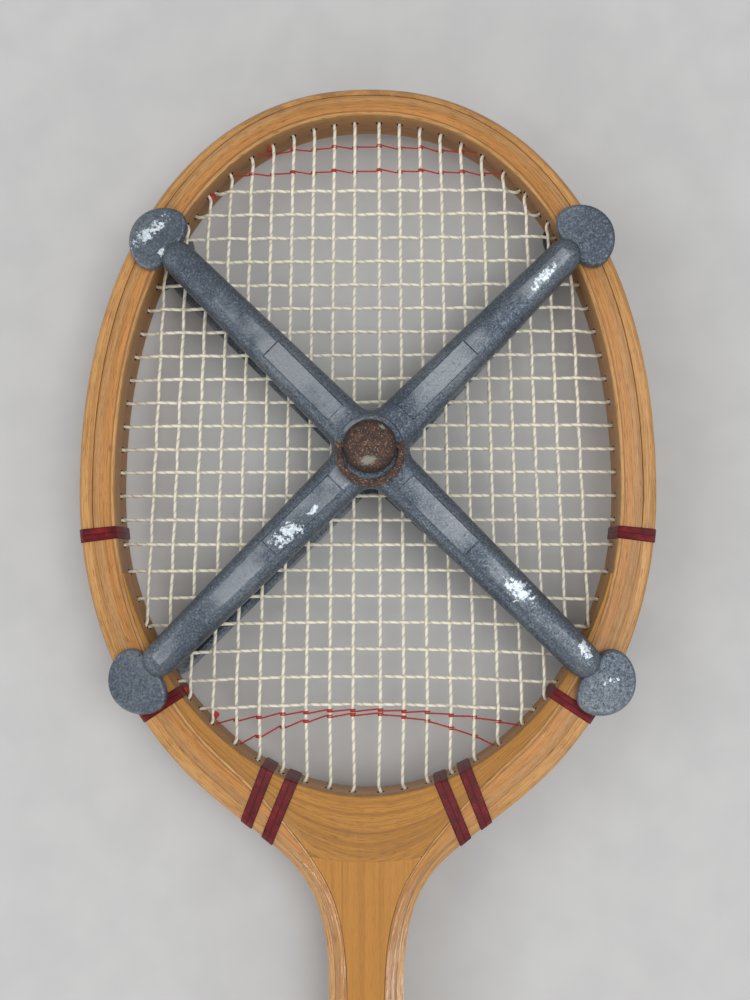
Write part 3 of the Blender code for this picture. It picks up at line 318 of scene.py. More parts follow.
def rim(place):
    """Outer edge, inward way, width, outer strip and bevel at an array of places.

    Up to 1 the edge is a squared oval x = a cos^p, y = b sin^p, up to 2 an ellipse, up to 3
    a Bezier curve and up to 4 the straight shaft. Left places are negative.
    """
    place = np.asarray(place, float)
    side = np.where(place < 0, -1.0, 1.0)
    p = np.abs(place)
    power = 2 / HEAD_SQUARENESS
    turn = math.pi / 2 * (1 - np.clip(p, 0, 1))
    c, s = np.maximum(np.cos(turn), 0) ** power, np.sin(turn) ** power
    top = np.stack((HEAD_HALF_WIDTH * c, WIDEST_Y + HEAD_RISE * s), -1)
    inner = np.stack((STRUNG_HALF_WIDTH * c, WIDEST_Y + STRUNG_RISE * s), -1)
    top_width = np.linalg.norm(inner - top, axis=-1)
    top_strip = STRIP_AT_TOP + (STRIP_AT_SIDE - STRIP_AT_TOP) * np.cos(turn) ** 2
    turn = END_ANGLE * np.clip(p - 1, 0, 1)
    low = np.stack((HEAD_HALF_WIDTH * np.cos(turn), WIDEST_Y - SHOULDER_DROP * np.sin(turn)), -1)
    low_in = unit(np.stack((-np.cos(turn) / HEAD_HALF_WIDTH, np.sin(turn) / SHOULDER_DROP), -1))
    start = np.array((SHOULDER_END_X, WIDEST_Y - SHOULDER_DROP * math.sin(END_ANGLE)))
    along = unit(np.array((-HEAD_HALF_WIDTH * math.sin(END_ANGLE), -SHOULDER_DROP * math.cos(END_ANGLE))))
    end = np.array((SHAFT_HALF_WIDTH, SHAFT_TOP_Y))
    second, third = start + THROAT_PULL_ABOVE * along, end + np.array((0, THROAT_PULL_BELOW))
    share = np.clip(p - 2, 0, 1)
    u = share[..., None]
    v = 1 - u
    bent = v ** 3 * start + 3 * v * v * u * second + 3 * v * u * u * third + u ** 3 * end
    going = unit(v * v * (second - start) + 2 * v * u * (third - second) + u * u * (end - third))
    bent_in = np.stack((going[..., 1], -going[..., 0]), -1)
    straight = np.stack((np.full_like(p, SHAFT_HALF_WIDTH),
                         SHAFT_TOP_Y + (WOOD_END_Y - SHAFT_TOP_Y) * np.clip(p - 3, 0, 1)), -1)
    zones = [(p <= 1)[..., None], (p <= 2)[..., None], (p <= 3)[..., None]]
    outer = np.select(zones, [top, low, bent], straight)
    inward = np.select(zones, [unit(inner - top), low_in, bent_in], np.array((-1.0, 0.0)))
    width = np.where(p <= 1, top_width, eased(RIM_AT_SIDE, LEG_AT_SHAFT, share / TAPER_SHARE))
    strip = np.where(p <= 1, top_strip, eased(STRIP_AT_SIDE, STRIP_AT_SHAFT, share / TAPER_SHARE))
    flip = np.stack((side, np.ones_like(side)), -1)
    across = eased(EDGE_BEVEL[0], SHAFT_BEVEL[0], share)
    down = eased(EDGE_BEVEL[1], SHAFT_BEVEL[1], share)
    return outer * flip, inward * flip, width, strip, across, down


def place_at_x(x):
    """The place below the widest line at each |x|, read off a fine table of the rim."""
    table = np.linspace(1, 3, 4001)
    found = np.interp(-np.abs(x), -rim(table)[0][:, 0], table)
    return np.sign(x) * found


def place_at_drop(drop):
    """The place at a drop below the widest line, from drop = SHOULDER_DROP sin t."""
    return 1 + np.arcsin(drop / SHOULDER_DROP) / END_ANGLE


def strung_y(x, upper):
    """The inside of the rim at x, above or below the widest line."""
    rise, power = (STRUNG_RISE, HEAD_SQUARENESS) if upper else (-STRUNG_DROP, STRUNG_ROUNDNESS)
    return WIDEST_Y + rise * (1 - np.minimum(np.abs(x) / STRUNG_HALF_WIDTH, 1) ** power) ** (1 / power)


def strung_x(y):
    """Half the width inside the rim at y."""
    above = y > WIDEST_Y
    reach = np.where(above, STRUNG_RISE, STRUNG_DROP)
    power = np.where(above, HEAD_SQUARENESS, STRUNG_ROUNDNESS)
    return STRUNG_HALF_WIDTH * (1 - np.minimum(np.abs(y - WIDEST_Y) / reach, 1) ** power) ** (1 / power)


# Where the strings run

def main_x(main, y):
    """Mains fan out a little towards the throat, and part in the middle for the screw."""
    number = main - (MAINS - 1) / 2
    return number * (MAIN_PITCH - MAIN_FAN * (y - HUB_Y)) + np.copysign(MAIN_PARTING, number)


def cross_y(cross, x):
    """Crosses open up away from the middle, the low ones sag, and one steps round the screw."""
    above = MIDDLE_CROSS - cross
    middle = HEAD_TOP_Y - MIDDLE_CROSS_DROP
    high = middle + CROSS_PITCH_UP * above + CROSS_GROWTH_UP * above ** 2
    bowed = np.maximum(0.0, (-above - FIRST_BOWED_ROW) / (CROSSES - 1 - MIDDLE_CROSS - FIRST_BOWED_ROW))
    low = middle + CROSS_PITCH_DOWN * above - CROSS_GROWTH_DOWN * above ** 2
    low = low - CROSS_BOW * bowed * (x / CROSS_BOW_REACH) ** 2
    y = np.where(above >= 0, high, low)
    near = (np.abs(x - HUB_X) < MAIN_PITCH) & (np.abs(y - HUB_Y) < SCREW_CLEAR)
    return np.where(near, HUB_Y + np.copysign(SCREW_CLEAR, y - HUB_Y), y)


def string_ends():
    """Mouths and places of every hole: mains top and bottom, crosses left and right."""
    mains, crosses = np.arange(MAINS), np.arange(CROSSES)
    ends = {}
    for upper in (True, False):
        y = np.full(MAINS, WIDEST_Y)
        for _ in range(8):
            x = main_x(mains, y)
            y = strung_y(x, upper)
        if upper:
            place = 1 - np.arccos((np.abs(x) / STRUNG_HALF_WIDTH) ** (HEAD_SQUARENESS / 2)) / (math.pi / 2)
            place = np.copysign(place, x)
        else:
            place = place_at_x(np.copysign(EXIT_X + EXIT_SPREAD * np.abs(x), x))
        ends["top" if upper else "bottom"] = (np.stack((x, y), -1), place, CORD_LANE)
    for side, name in ((-1, "left"), (1, "right")):
        x = np.full(CROSSES, side * STRUNG_HALF_WIDTH)
        for _ in range(8):
            y = cross_y(crosses, x)
            x = side * strung_x(y)
        up = np.clip((y - WIDEST_Y) / STRUNG_RISE, 0, 1) ** (HEAD_SQUARENESS / 2)
        place = np.where(y > WIDEST_Y, 1 - np.arcsin(up) / (math.pi / 2),
                         place_at_drop(np.maximum(0, CROSS_HOLE_LEAN * (WIDEST_Y - y))))
        ends[name] = (np.stack((x, y), -1), side * place, -CORD_LANE)
    return ends


ENDS = string_ends()


def end_points(name, number):
    """The lead-in point, the turn behind the hole and the place of one string end."""
    mouth, place, lane = ENDS[name]
    outside = rim(place[number])[0]
    way = unit(outside - mouth[number])
    lift = np.array((MID_Z + lane,))
    lead = np.concatenate((mouth[number] - LEAD_IN * way, lift))
    turn = np.concatenate((outside - CORD_IN_GROOVE * way, lift))
    return lead, turn, place[number]


def crossings():
    """Where every main meets every cross, solved by turns: x from y, then y from x."""
    mains, crosses = np.meshgrid(np.arange(MAINS), np.arange(CROSSES), indexing="ij")
    x = np.zeros(mains.shape)
    for _ in range(6):
        y = cross_y(crosses, x)
        x = main_x(mains, y)
    return np.stack((x, y), -1)


def groove_points(first, last, lane, count=9):
    """Points along the outside groove between two places."""
    place = np.linspace(first, last, count)
    outer, inward = rim(place)[:2]
    flat = outer + inward * CORD_IN_GROOVE
    return np.concatenate((flat, np.full((count, 1), MID_Z + lane)), axis=1)


def woven_lines():
    """The points of each main and each cross inside the rim, over and under by turns.

    Close to the end of another string, mains run over crosses.
    """
    spots = crossings()
    leads = {name: np.array([end_points(name, k)[0] for k in range(len(ENDS[name][1]))]) for name in ENDS}
    inside = ((spots[..., 1] < leads["top"][:, None, 1] - END_CLEAR)
              & (spots[..., 1] > leads["bottom"][:, None, 1] + END_CLEAR)
              & (spots[..., 0] > leads["left"][None, :, 0] + END_CLEAR)
              & (spots[..., 0] < leads["right"][None, :, 0] - END_CLEAR))
    every = np.concatenate([leads[name][:, :2] for name in leads])
    owner = np.concatenate([np.full(len(leads[name]), k) for k, name in enumerate(leads)])
    number = np.concatenate([np.arange(len(leads[name])) for name in leads])
    gap = np.linalg.norm(spots[:, :, None, :] - every[None, None], axis=-1)
    own = np.where(owner < 2, number == np.arange(MAINS)[:, None, None],
                   number == np.arange(CROSSES)[None, :, None])
    over = np.where(np.add.outer(np.arange(MAINS), np.arange(CROSSES)) % 2 == 0, 1.0, -1.0)
    over = np.where((gap + np.where(own, 0, 1)).min(axis=-1) < RIM_CLEAR, 1.0, over)
    wave = over * CORD_WAVE
    mains = [np.column_stack((spots[k, inside[k]], MID_Z + wave[k, inside[k]])) for k in range(MAINS)]
    crosses = [np.column_stack((spots[inside[:, k], k], MID_Z - wave[inside[:, k], k]))
               for k in range(CROSSES)]
    return mains, crosses


def threaded(lines, low_name, high_name, lane, tails):
    """One unbroken route: out through a hole, along the groove and back in by turns."""
    parts, previous = [], None
    for number, line in enumerate(lines):
        names = (high_name, low_name) if number % 2 else (low_name, high_name)
        lead, turn, place = end_points(names[0], number)
        start = place + tails[0] if previous is None else previous
        far_lead, far_turn, previous = end_points(names[1], number)
        parts += [groove_points(start, place, lane), turn[None], lead[None],
                  line[::-1] if number % 2 else line, far_lead[None], far_turn[None]]
    parts.append(groove_points(previous, previous + tails[1], lane))
    return np.concatenate(parts)


def softened(route, step=1.0 * MM, rounds=3):
    """The route resampled at even steps, then averaged with its neighbours to round its bends."""
    gaps = np.linalg.norm(np.diff(route, axis=0), axis=1)
    route = route[np.concatenate(((True,), gaps > 1e-5))]
    reach = reached(route)
    even = np.linspace(0, reach[-1], int(reach[-1] / step))
    points = np.stack([np.interp(even, reach, route[:, k]) for k in range(3)], -1)
    for _ in range(rounds):
        points[1:-1] = (points[:-2] + 2 * points[1:-1] + points[2:]) / 4
    return points


def cord_surface(name, route, radius, finish, sides=8):
    """A round cord: a circle carried along the route, kept upright.

    Point (i, j) is route[i] + r (cos t_j across + sin t_j up). Its map gives the distance
    along the cord and the way round it.
    """
    along = unit(np.gradient(route, axis=0))
    across = unit(np.cross(along, (0.0, 0.0, 1.0)))
    up = np.cross(across, along)
    turns = circle(sides)[:, None]
    points = route[:, None] + radius * (np.cos(turns) * across[:, None] + np.sin(turns) * up[:, None])
    around = np.linspace(0, 1, sides + 1)
    chart = np.stack(np.broadcast_arrays(reached(route)[:, None], around), -1)
    return surface(name, points, finish, around=True, maps={"twist": chart}, caps=True, smooth=80)


# Materials

class Finish:
    """Builds one node material a step at a time."""

    def __init__(self, name):
        self.material = bpy.data.materials.new(name)
        self.material.use_nodes = True
        self.tree = self.material.node_tree
        self.shader = self.tree.nodes["Principled BSDF"]

    def node(self, kind, output=0, values=None, **sockets):
        """Adds a node with its settings and inputs, and gives back one output.

        An input goes by its name, with _ for a space, or by its number, such as i0.
        """
        made = self.tree.nodes.new("ShaderNode" + kind)
        for key, value in (values or {}).items():
            setattr(made, key, value)
        for key, value in sockets.items():
            numbered = key[0] == "i" and key[1:].isdigit()
            self.feed(made.inputs[int(key[1:]) if numbered else key.replace("_", " ")], value)
        return made.outputs[output]

    def feed(self, socket, value):
        """Links an output to a socket, or sets the socket's own value."""
        if isinstance(value, bpy.types.NodeSocket):
            self.tree.links.new(value, socket)
        elif socket.type == "RGBA":
            socket.default_value = (*value, 1.0)
        else:
            socket.default_value = value

    def place(self):
        """Object coordinates in metres."""
        return self.node("TexCoord", output=3)

    def chart(self, name):
        """The piece's UV map of that name."""
        return self.node("UVMap", values={"uv_map": name})

    def parts(self, vector):
        """The x, y and z outputs of a vector."""
        return self.node("SeparateXYZ", Vector=vector).node.outputs

    def stretched(self, vector, x, y, z):
        """A vector with each part scaled by its own factor."""
        return self.node("Mapping", Vector=vector, Scale=(x, y, z))

    def noise(self, vector, scale, detail=3.0, rough=0.55, distortion=0.0):
        return self.node("TexNoise", Vector=vector, Scale=scale, Detail=detail, Roughness=rough,
                         Distortion=distortion)

    def math(self, operation, a, b=0.0):
        """One step of arithmetic on two values."""
        return self.node("Math", values={"operation": operation}, i0=a, i1=b)

    def times(self, a, b):
        return self.math("MULTIPLY", a, b)

    def plus(self, a, b):
        return self.math("ADD", a, b)

    def span(self, value, low, high, out_low=0.0, out_high=1.0):
        """A smooth step from out_low to out_high as value goes from low to high."""
        return self.node("MapRange", values={"interpolation_type": "SMOOTHSTEP"}, Value=value,
                         i1=low, i2=high, i3=out_low, i4=out_high)

    def window(self, value, low, high, soft):
        """1 where value lies between low and high, with soft edges."""
        rise = self.span(value, low - soft, low + soft)
        return self.times(rise, self.span(value, high + soft, high - soft))

    def ramp(self, value, stops):
        """A colour for each value, eased between stops of place and colour."""
        made = self.tree.nodes.new("ShaderNodeValToRGB")
        band = made.color_ramp
        band.interpolation = "EASE"
        while len(band.elements) < len(stops):
            band.elements.new(0.5)
        for element, (where, colour) in zip(band.elements, stops):
            element.position = where
            element.color = (*colour, 1.0)
        self.feed(made.inputs[0], value)
        return made.outputs[0]

    def blend(self, share, a, b):
        """Colour a at share 0, colour b at share 1."""
        return self.node("Mix", 2, {"data_type": "RGBA"}, i0=share, i6=a, i7=b)

    def tint(self, base, colour, value, low, high, most=1.0):
        """Turns base towards a colour, by up to most as value goes from low to high."""
        return self.blend(self.span(value, low, high, 0.0, most), base, colour)

    def bump(self, height, strength, distance):
        """A normal tilted by the slope of height, distance metres deep."""
        return self.node("Bump", Strength=strength, Distance=distance, Height=height)

    def finish(self, colour, roughness, normal=None, **others):
        """Feeds the shader's inputs, each by its name, and gives back the material."""
        if normal is not None:
            others["Normal"] = normal
        for key, value in {"Base_Color": colour, "Roughness": roughness, **others}.items():
            self.feed(self.shader.inputs[key.replace("_", " ")], value)
        return self.material


def grain(made, chart, fine, coarse, seed):
    """Long wood fibres, broad streaks and pores: noise stretched along the first way of the chart."""
    shifted = made.node("Mapping", Vector=chart, Location=(seed, seed * 0.7, 0.0), Scale=(11.0, coarse, 1.0))
    return (made.noise(made.stretched(chart, 38.0, fine, 1.0), 1.0, 4.0, 0.62, 0.2),
            made.noise(shifted, 1.0, 3.0, 0.5, 0.6),
            made.noise(made.stretched(chart, 160.0, fine * 3.2, 1.0), 1.0, 2.0, 0.5))


def varnished(name, colour_at, seed, fine=1500.0, coarse=520.0, dark=(0.25, 0.11, 0.026), strength=1.0):
    """Varnished ash: a ply colour, broken by streaks, fibres and open pores, with painted shade, near black,
    inside the drilled holes.

    The rippled clear coat is whole on the throat and the shaft, and mostly worn off round the head.
    """
    made = Finish(name)
    chart, where = made.chart("grain"), made.place()
    fibres, streaks, pores = grain(made, chart, fine, coarse, seed)
    toned = made.tint(colour_at(made), dark, streaks, 0.42, 0.72, 0.46 * strength)
    toned = made.tint(toned, dark, fibres, 0.48, 0.64, 0.52 * strength)
    toned = made.tint(toned, (0.13, 0.055, 0.015), pores, 0.56, 0.64, 0.7 * strength)
    toned = made.tint(toned, (0.53, 0.25, 0.07), made.noise(where, 14.0, 2.0), 0.35, 0.7, 0.22)
    scuffs = made.span(made.noise(where, 210.0, 4.0, 0.7), 0.66, 0.74)
    worn = made.times(scuffs, made.span(made.noise(where, 9.0), 0.5, 0.62))
    toned = made.blend(made.times(worn, 0.35), toned, (0.74, 0.60, 0.44))
    along = made.parts(chart)[0]
    # Painted shade: the drilled faces inside the holes turn near black.
    toned = made.tint(toned, (0.022, 0.010, 0.005), along, DRILLED_CHART - 2, DRILLED_CHART - 1)
    height = made.plus(made.times(fibres, 0.5), pores)
    ripples = made.noise(made.stretched(chart, 150.0, 620.0, 1.0), 1.0, 3.0, 0.6)
    coat = made.span(made.parts(where)[1], 0.02, 0.085, 1.0, 0.22)
    return made.finish(toned, made.span(streaks, 0.2, 0.8, 0.30, 0.46), made.bump(height, 0.45, 0.0003),
                       Specular_IOR_Level=0.22, Coat_Weight=coat, Coat_Roughness=0.08,
                       Coat_Normal=made.bump(ripples, 0.7, 0.0003))


def bow_colour(made):
    """Plies across the bow: grey-brown, orange, a thin line, pale, then the inner wall, darker partly in its
    own tone and partly as painted shade.
    """
    across = made.parts(made.chart("ply"))[1]
    return made.ramp(across, [
        (0.00, (0.47, 0.25, 0.10)), (0.26, (0.52, 0.28, 0.105)), (0.36, (0.56, 0.25, 0.07)),
        (0.60, (0.60, 0.27, 0.08)), (0.675, (0.27, 0.11, 0.03)), (0.70, (0.62, 0.35, 0.125)),
        # From 0.82 on lies the inner wall: darker partly as its own tone and partly as painted shade.
        (0.78, (0.60, 0.34, 0.13)), (0.82, (0.40, 0.205, 0.066)), (0.90, (0.32, 0.155, 0.047)),
        (1.00, (0.28, 0.13, 0.038))])


def strip_colour(made):
    """Pale golden ash, greyed and worn dark over the top of the head."""
    tone = made.ramp(made.parts(made.chart("ply"))[1], [
        (0.0, (0.54, 0.28, 0.085)), (0.45, (0.62, 0.33, 0.115)), (0.8, (0.58, 0.29, 0.09)),
        (1.0, (0.44, 0.21, 0.06))])
    where = made.place()
    high = made.span(made.parts(where)[1], 0.318, 0.339)
    patchy = made.span(made.noise(where, 90.0, 4.0, 0.65), 0.36, 0.58)
    return made.blend(made.times(made.times(high, patchy), 0.75), tone, (0.23, 0.125, 0.055))


def yoke_colour(made):
    """The yoke's plies: soft lines that run round with the grain."""
    chart = made.chart("grain")
    plies = made.noise(made.stretched(chart, 3.0, 430.0, 1.0), 1.0, 2.0, 0.5)
    base = made.tint((0.49, 0.225, 0.036), (0.33, 0.14, 0.019), plies, 0.46, 0.60, 0.75)
    line = made.window(made.parts(chart)[1], 0.0137, 0.0143, 0.0003)
    return made.blend(made.times(line, 0.7), base, (0.20, 0.085, 0.018))


def wedge_colour(made):
    """Orange core wood with a few darker rays that run down the shaft."""
    chart = made.chart("grain")
    rays = made.noise(made.stretched(chart, 2.0, 260.0, 1.0), 1.0, 1.0)
    base = made.tint((0.52, 0.228, 0.036), (0.37, 0.155, 0.022), rays, 0.5, 0.62, 0.5)
    left = made.window(made.parts(chart)[1], -0.0094, -0.0088, 0.0003)
    return made.blend(made.times(left, 0.5), base, (0.24, 0.10, 0.02))


def cord_finish(name, light, dark, pitch, roughness):
    """Twisted strands: a stripe that climbs round the cord, darkened in its grooves as painted shade, with
    soiled stretches.
    """
    made = Finish(name)
    along, around = made.parts(made.chart("twist"))[:2]
    phase = made.plus(made.times(along, 1 / pitch), around)
    stripe = made.math("SINE", made.times(phase, 2 * math.pi))
    height = made.plus(made.times(stripe, 0.5), 0.5)
    # Painted shade: the colour darkens where the twist's bump is low, in its grooves.
    colour = made.blend(made.span(height, 0.0, 0.4, 0.6, 0.0), light, dark)
    colour = made.tint(colour, dark, made.noise(made.place(), 120.0, 3.0, 0.6), 0.5, 0.75, 0.3)
    return made.finish(colour, roughness, made.bump(height, 0.7, 0.00025), Specular_IOR_Level=0.4)


def binding_finish():
    """Burgundy thread under varnish, with dark lines along both edges and the middle."""
    made = Finish("binding_thread_finish")
    across = made.parts(made.chart("band"))[0]
    edge = made.math("ABSOLUTE", made.math("SUBTRACT", across, 0.5))
    dark = made.math("MAXIMUM", made.span(edge, 0.40, 0.47), made.span(edge, 0.07, 0.02))
    threads = made.math("SINE", made.times(across, 2 * math.pi * BINDING_THREADS))
    mottled = made.noise(made.place(), 260.0, 3.0)
    colour = made.ramp(mottled, [(0.32, (0.085, 0.002, 0.005)), (0.52, (0.150, 0.005, 0.010)),
                                 (0.72, (0.25, 0.013, 0.018))])
    colour = made.blend(made.times(dark, 0.8), colour, (0.022, 0.002, 0.004))
    height = made.plus(made.times(threads, 0.5), made.times(mottled, 0.6))
    return made.finish(colour, made.span(mottled, 0.3, 0.8, 0.34, 0.55), made.bump(height, 0.5, 0.0003),
                       Specular_IOR_Level=0.22, Coat_Weight=0.12, Coat_Roughness=0.08,
                       Coat_Normal=made.bump(mottled, 0.6, 0.0006))


def near_spots(made, spots):
    """A share that is 1 at any of the spots and falls to 0 at each one's radius."""
    total = None
    for x, y, stretch, turn, radius in spots:
        moved = made.node("Mapping", values={"vector_type": "TEXTURE"}, Vector=made.place(),
                          Location=(x * MM, y * MM, 0.0), Rotation=(0.0, 0.0, math.radians(turn)),
                          Scale=(stretch, 1.0, 1.0))
        flat = made.node("VectorMath", values={"operation": "MULTIPLY"}, i0=moved, i1=(1.0, 1.0, 0.0))
        distance = made.node("VectorMath", output=1, values={"operation": "LENGTH"}, i0=flat)
        share = made.span(distance, radius * MM, 0.0)
        total = share if total is None else made.math("MAXIMUM", total, share)
    return total


def casting_finish(name, spots):
    """Slate blue-grey cast metal: mottled, rubbed on its edges, with chipped pale patches."""
    made = Finish(name)
    where = made.place()
    cloud, fine = made.noise(where, 38.0, 3.0, 0.5), made.noise(where, 1250.0, 3.0, 0.7)
    colour = made.ramp(cloud, [(0.32, (0.068, 0.090, 0.122)), (0.52, (0.100, 0.126, 0.160)),
                               (0.70, (0.145, 0.170, 0.200))])
    colour = made.tint(colour, (0.27, 0.30, 0.34), fine, 0.52, 0.64, 0.5)
    colour = made.tint(colour, (0.036, 0.047, 0.062), fine, 0.48, 0.36, 0.65)
    pits = made.span(made.noise(where, 620.0, 3.0), 0.62, 0.70)
    colour = made.blend(made.times(pits, 0.65), colour, (0.03, 0.037, 0.047))
    pointed = made.node("NewGeometry", output=7)
    rubbed = made.times(made.span(pointed, 0.51, 0.56), made.span(cloud, 0.4, 0.6))
    colour = made.blend(made.times(rubbed, 0.6), colour, (0.34, 0.37, 0.40))
    if spots:
        near, flakes = near_spots(made, spots), made.noise(where, 430.0, 5.0, 0.75)
        chipped = made.span(made.plus(made.times(near, 0.40), flakes), 0.80, 0.85)
        tone = made.ramp(made.noise(where, 900.0, 2.0), [(0.35, (0.55, 0.66, 0.74)),
                                                         (0.6, (0.80, 0.86, 0.90))])
        colour = made.blend(made.times(chipped, made.span(near, 0.0, 0.12)), colour, tone)
    height = made.plus(made.times(fine, 0.5), made.times(pits, -0.3))
    return made.finish(colour, made.span(fine, 0.35, 0.65, 0.52, 0.34), made.bump(height, 0.6, 0.0006),
                       Metallic=0.6)


def rust_finish(name, spots=(), knob=None):
    """Rusted steel: dark and orange-brown mottling with scale, and pale spots where given; on the screw one
    is a pale patch and one a painted highlight.

    A knob, given as one more spot, gets painted shade towards its edge.
    """
    made = Finish(name)
    where = made.place()
    broad, scale = made.noise(where, 330.0, 5.0, 0.7), made.noise(where, 1500.0, 3.0, 0.65)
    colour = made.ramp(broad, [(0.34, (0.024, 0.015, 0.014)), (0.47, (0.062, 0.031, 0.024)),
                               (0.58, (0.118, 0.058, 0.038)), (0.74, (0.24, 0.15, 0.10))])
    colour = made.tint(colour, (0.030, 0.017, 0.015), scale, 0.53, 0.62, 0.75)
    colour = made.tint(colour, (0.42, 0.32, 0.21), scale, 0.41, 0.36, 0.75)
    if knob:
        # Painted shade: the knob darkens towards its rim, where the dome turns away.
        colour = made.tint(colour, (0.022, 0.014, 0.013), near_spots(made, (knob,)), 0.30, 0.02, 0.75)
    if spots:
        # Pale spots: pale patches of scale, and on the screw also one painted highlight.
        near = near_spots(made, spots)
        pale = made.span(made.plus(made.times(near, 0.6), scale), 0.84, 0.98)
        pale = made.times(made.times(pale, made.span(near, 0.0, 0.1)), 0.7)
        colour = made.blend(pale, colour, (0.34, 0.36, 0.30))
    height = made.plus(broad, made.times(scale, 0.5))
    return made.finish(colour, made.span(broad, 0.3, 0.7, 0.55, 0.8), made.bump(height, 0.7, 0.0007),
                       Metallic=0.15)


def leather_finish(name, light, dark):
    """Worn leather: pebbled cells, with painted shade darkening the creases, so the ridges stay paler."""
    made = Finish(name)
    where = made.place()
    cells, handled = made.node("TexVoronoi", Vector=where, Scale=900.0), made.noise(where, 35.0, 4.0)
    # Painted shade: the colour darkens where the pebbled bump is low, in the creases.
    colour = made.tint(made.tint(dark, light, handled, 0.35, 0.7), dark, cells, 0.35, 0.05, 0.4)
    return made.finish(colour, made.span(handled, 0.3, 0.7, 0.62, 0.42), made.bump(cells, 0.35, 0.0004))


def pallet_finish():
    """Plain ash for the pallets: growth rings and fibres drawn out along the handle."""
    made = Finish("pallet_finish")
    where = made.place()
    rings = made.noise(made.stretched(where, 260.0, 9.0, 260.0), 1.0, 4.0, 0.6, 0.3)
    fibres = made.noise(made.stretched(where, 1400.0, 30.0, 1400.0), 1.0, 3.0, 0.6)
    colour = made.ramp(rings, [(0.35, (0.50, 0.27, 0.09)), (0.65, (0.40, 0.19, 0.055))])
    return made.finish(made.tint(colour, (0.25, 0.11, 0.03), fibres, 0.5, 0.7, 0.45), 0.45,
                       made.bump(fibres, 0.2, 0.0002))


def floor_finish():
    """Plain pale floor, with only a breath of variation."""
    made = Finish("floor_finish")
    cloud = made.noise(made.place(), 40.0, 2.0)
    return made.finish(made.tint((0.545, 0.548, 0.552), (0.575, 0.578, 0.58), cloud, 0.3, 0.7), 0.9)


# The wood

def wood_strip(name, places, finish, groove_end=None):
    """One bent strip: its section is carried along the rim.

    Point (i, j) is outer + d times inward, at the height z. Over d and z the section runs over
    the top, round a soft edge, down the inner face and back under. The bow lies inside the
    outer strips. A strip starts at the racket's outer edge, and has a groove up to the place
    groove_end.
    """
    outer, inward, width, strip, across, down = rim(places)
    if groove_end is None:
        near = strip + np.where(np.abs(places) < BINDING_PLACE, GLUE_LINE, SEAM)
        far, soft = width, BOW_SOFT
    else:
        near, far, soft = 0 * strip, strip, STRIP_SOFT
    turns = np.linspace(0, math.pi / 2, 5)[1:]
    span, near, far = (far - near)[:, None], near[:, None], far[:, None]
    half_d = np.concatenate((near + (span - soft) * np.linspace(0, 1, 9),
                             far - soft + soft * np.sin(turns)), axis=1)
    slope = down[:, None] * np.maximum(0.0, 1 - half_d / across[:, None])
    half_z = HALF_DEPTH - slope - np.concatenate((np.zeros(9), soft * (1 - np.cos(turns))))
    half_ply = (half_d - near) / span * PLY_TOP
    wall = np.linspace(1, -1, 7)[1:-1]
    wall_z = half_z[:, -1:] * wall
    columns = np.ones_like(wall_z)
    sections = [(half_d, half_z, half_ply, half_d),
                (far * columns, wall_z, PLY_TOP + 0.2 * columns * (1 - np.abs(wall)) + 0.02,
                 far + np.abs(wall_z - HALF_DEPTH)),
                (half_d[:, ::-1], -half_z[:, ::-1], half_ply[:, ::-1], half_d[:, ::-1] + 0.05)]
    if groove_end is not None:
        hollow = np.where(np.abs(places) < groove_end, GROOVE_DEPTH, SHALLOW_GROOVE)[:, None]
        slope_start = GROOVE_HALF_WIDTH - GROOVE_SLOPE
        edge = np.array((-GROOVE_HALF_WIDTH, -slope_start, slope_start, GROOVE_HALF_WIDTH))
        columns = columns[:, :4]
        sections.append((hollow * np.array((0.0, 1.0, 1.0, 0.0)), edge * columns, 0.1 * columns,
                         (0.12 + edge) * columns))
    d, z, ply, grain_v = (np.concatenate(part, axis=1) for part in zip(*sections))
    points = upright_rows(outer[:, None] + inward[:, None] * d[..., None], z)
    along = reached(outer)[:, None] * np.ones_like(d)
    charts = {"ply": np.stack((along, ply), -1), "grain": np.stack((along, grain_v), -1)}
    return surface(name, points, finish, around=True, maps=charts, caps=True, smooth=45)


BINDING_PLACE = (ENDS["right"][1][14] + ENDS["right"][1][15]) / 2
HORN_PLACE = float(place_at_drop(HORN_DROP))


def rim_places(start, end, step=2.5 * MM):
    """Places spaced evenly by distance along the rim."""
    table = np.linspace(start, end, 4001)
    reach = reached(rim(table)[0])
    return np.interp(np.linspace(0, reach[-1], int(reach[-1] / step)), reach, table)


def foot_y(x):
    """The yoke's foot: a parabola that rises away from the middle."""
    return WIDEST_Y - STRUNG_DROP - YOKE_THICKNESS + FOOT_RISE * (x / FOOT_REACH) ** 2


def inside_bow(places):
    """Points just inside the bow: the outer edge, moved in by the rim's width and WOOD_GAP."""
    outer, inward, width = rim(places)[:3]
    return outer + inward * (width + WOOD_GAP)[..., None]


def foot_place():
    """Where the bow's inner face meets the yoke's foot, read off a fine table."""
    table = np.linspace(2, 3, 4001)
    spots = inside_bow(table)
    return float(np.interp(0.0, -(spots[:, 1] - foot_y(spots[:, 0])), table))


FOOT_PLACE = foot_place()


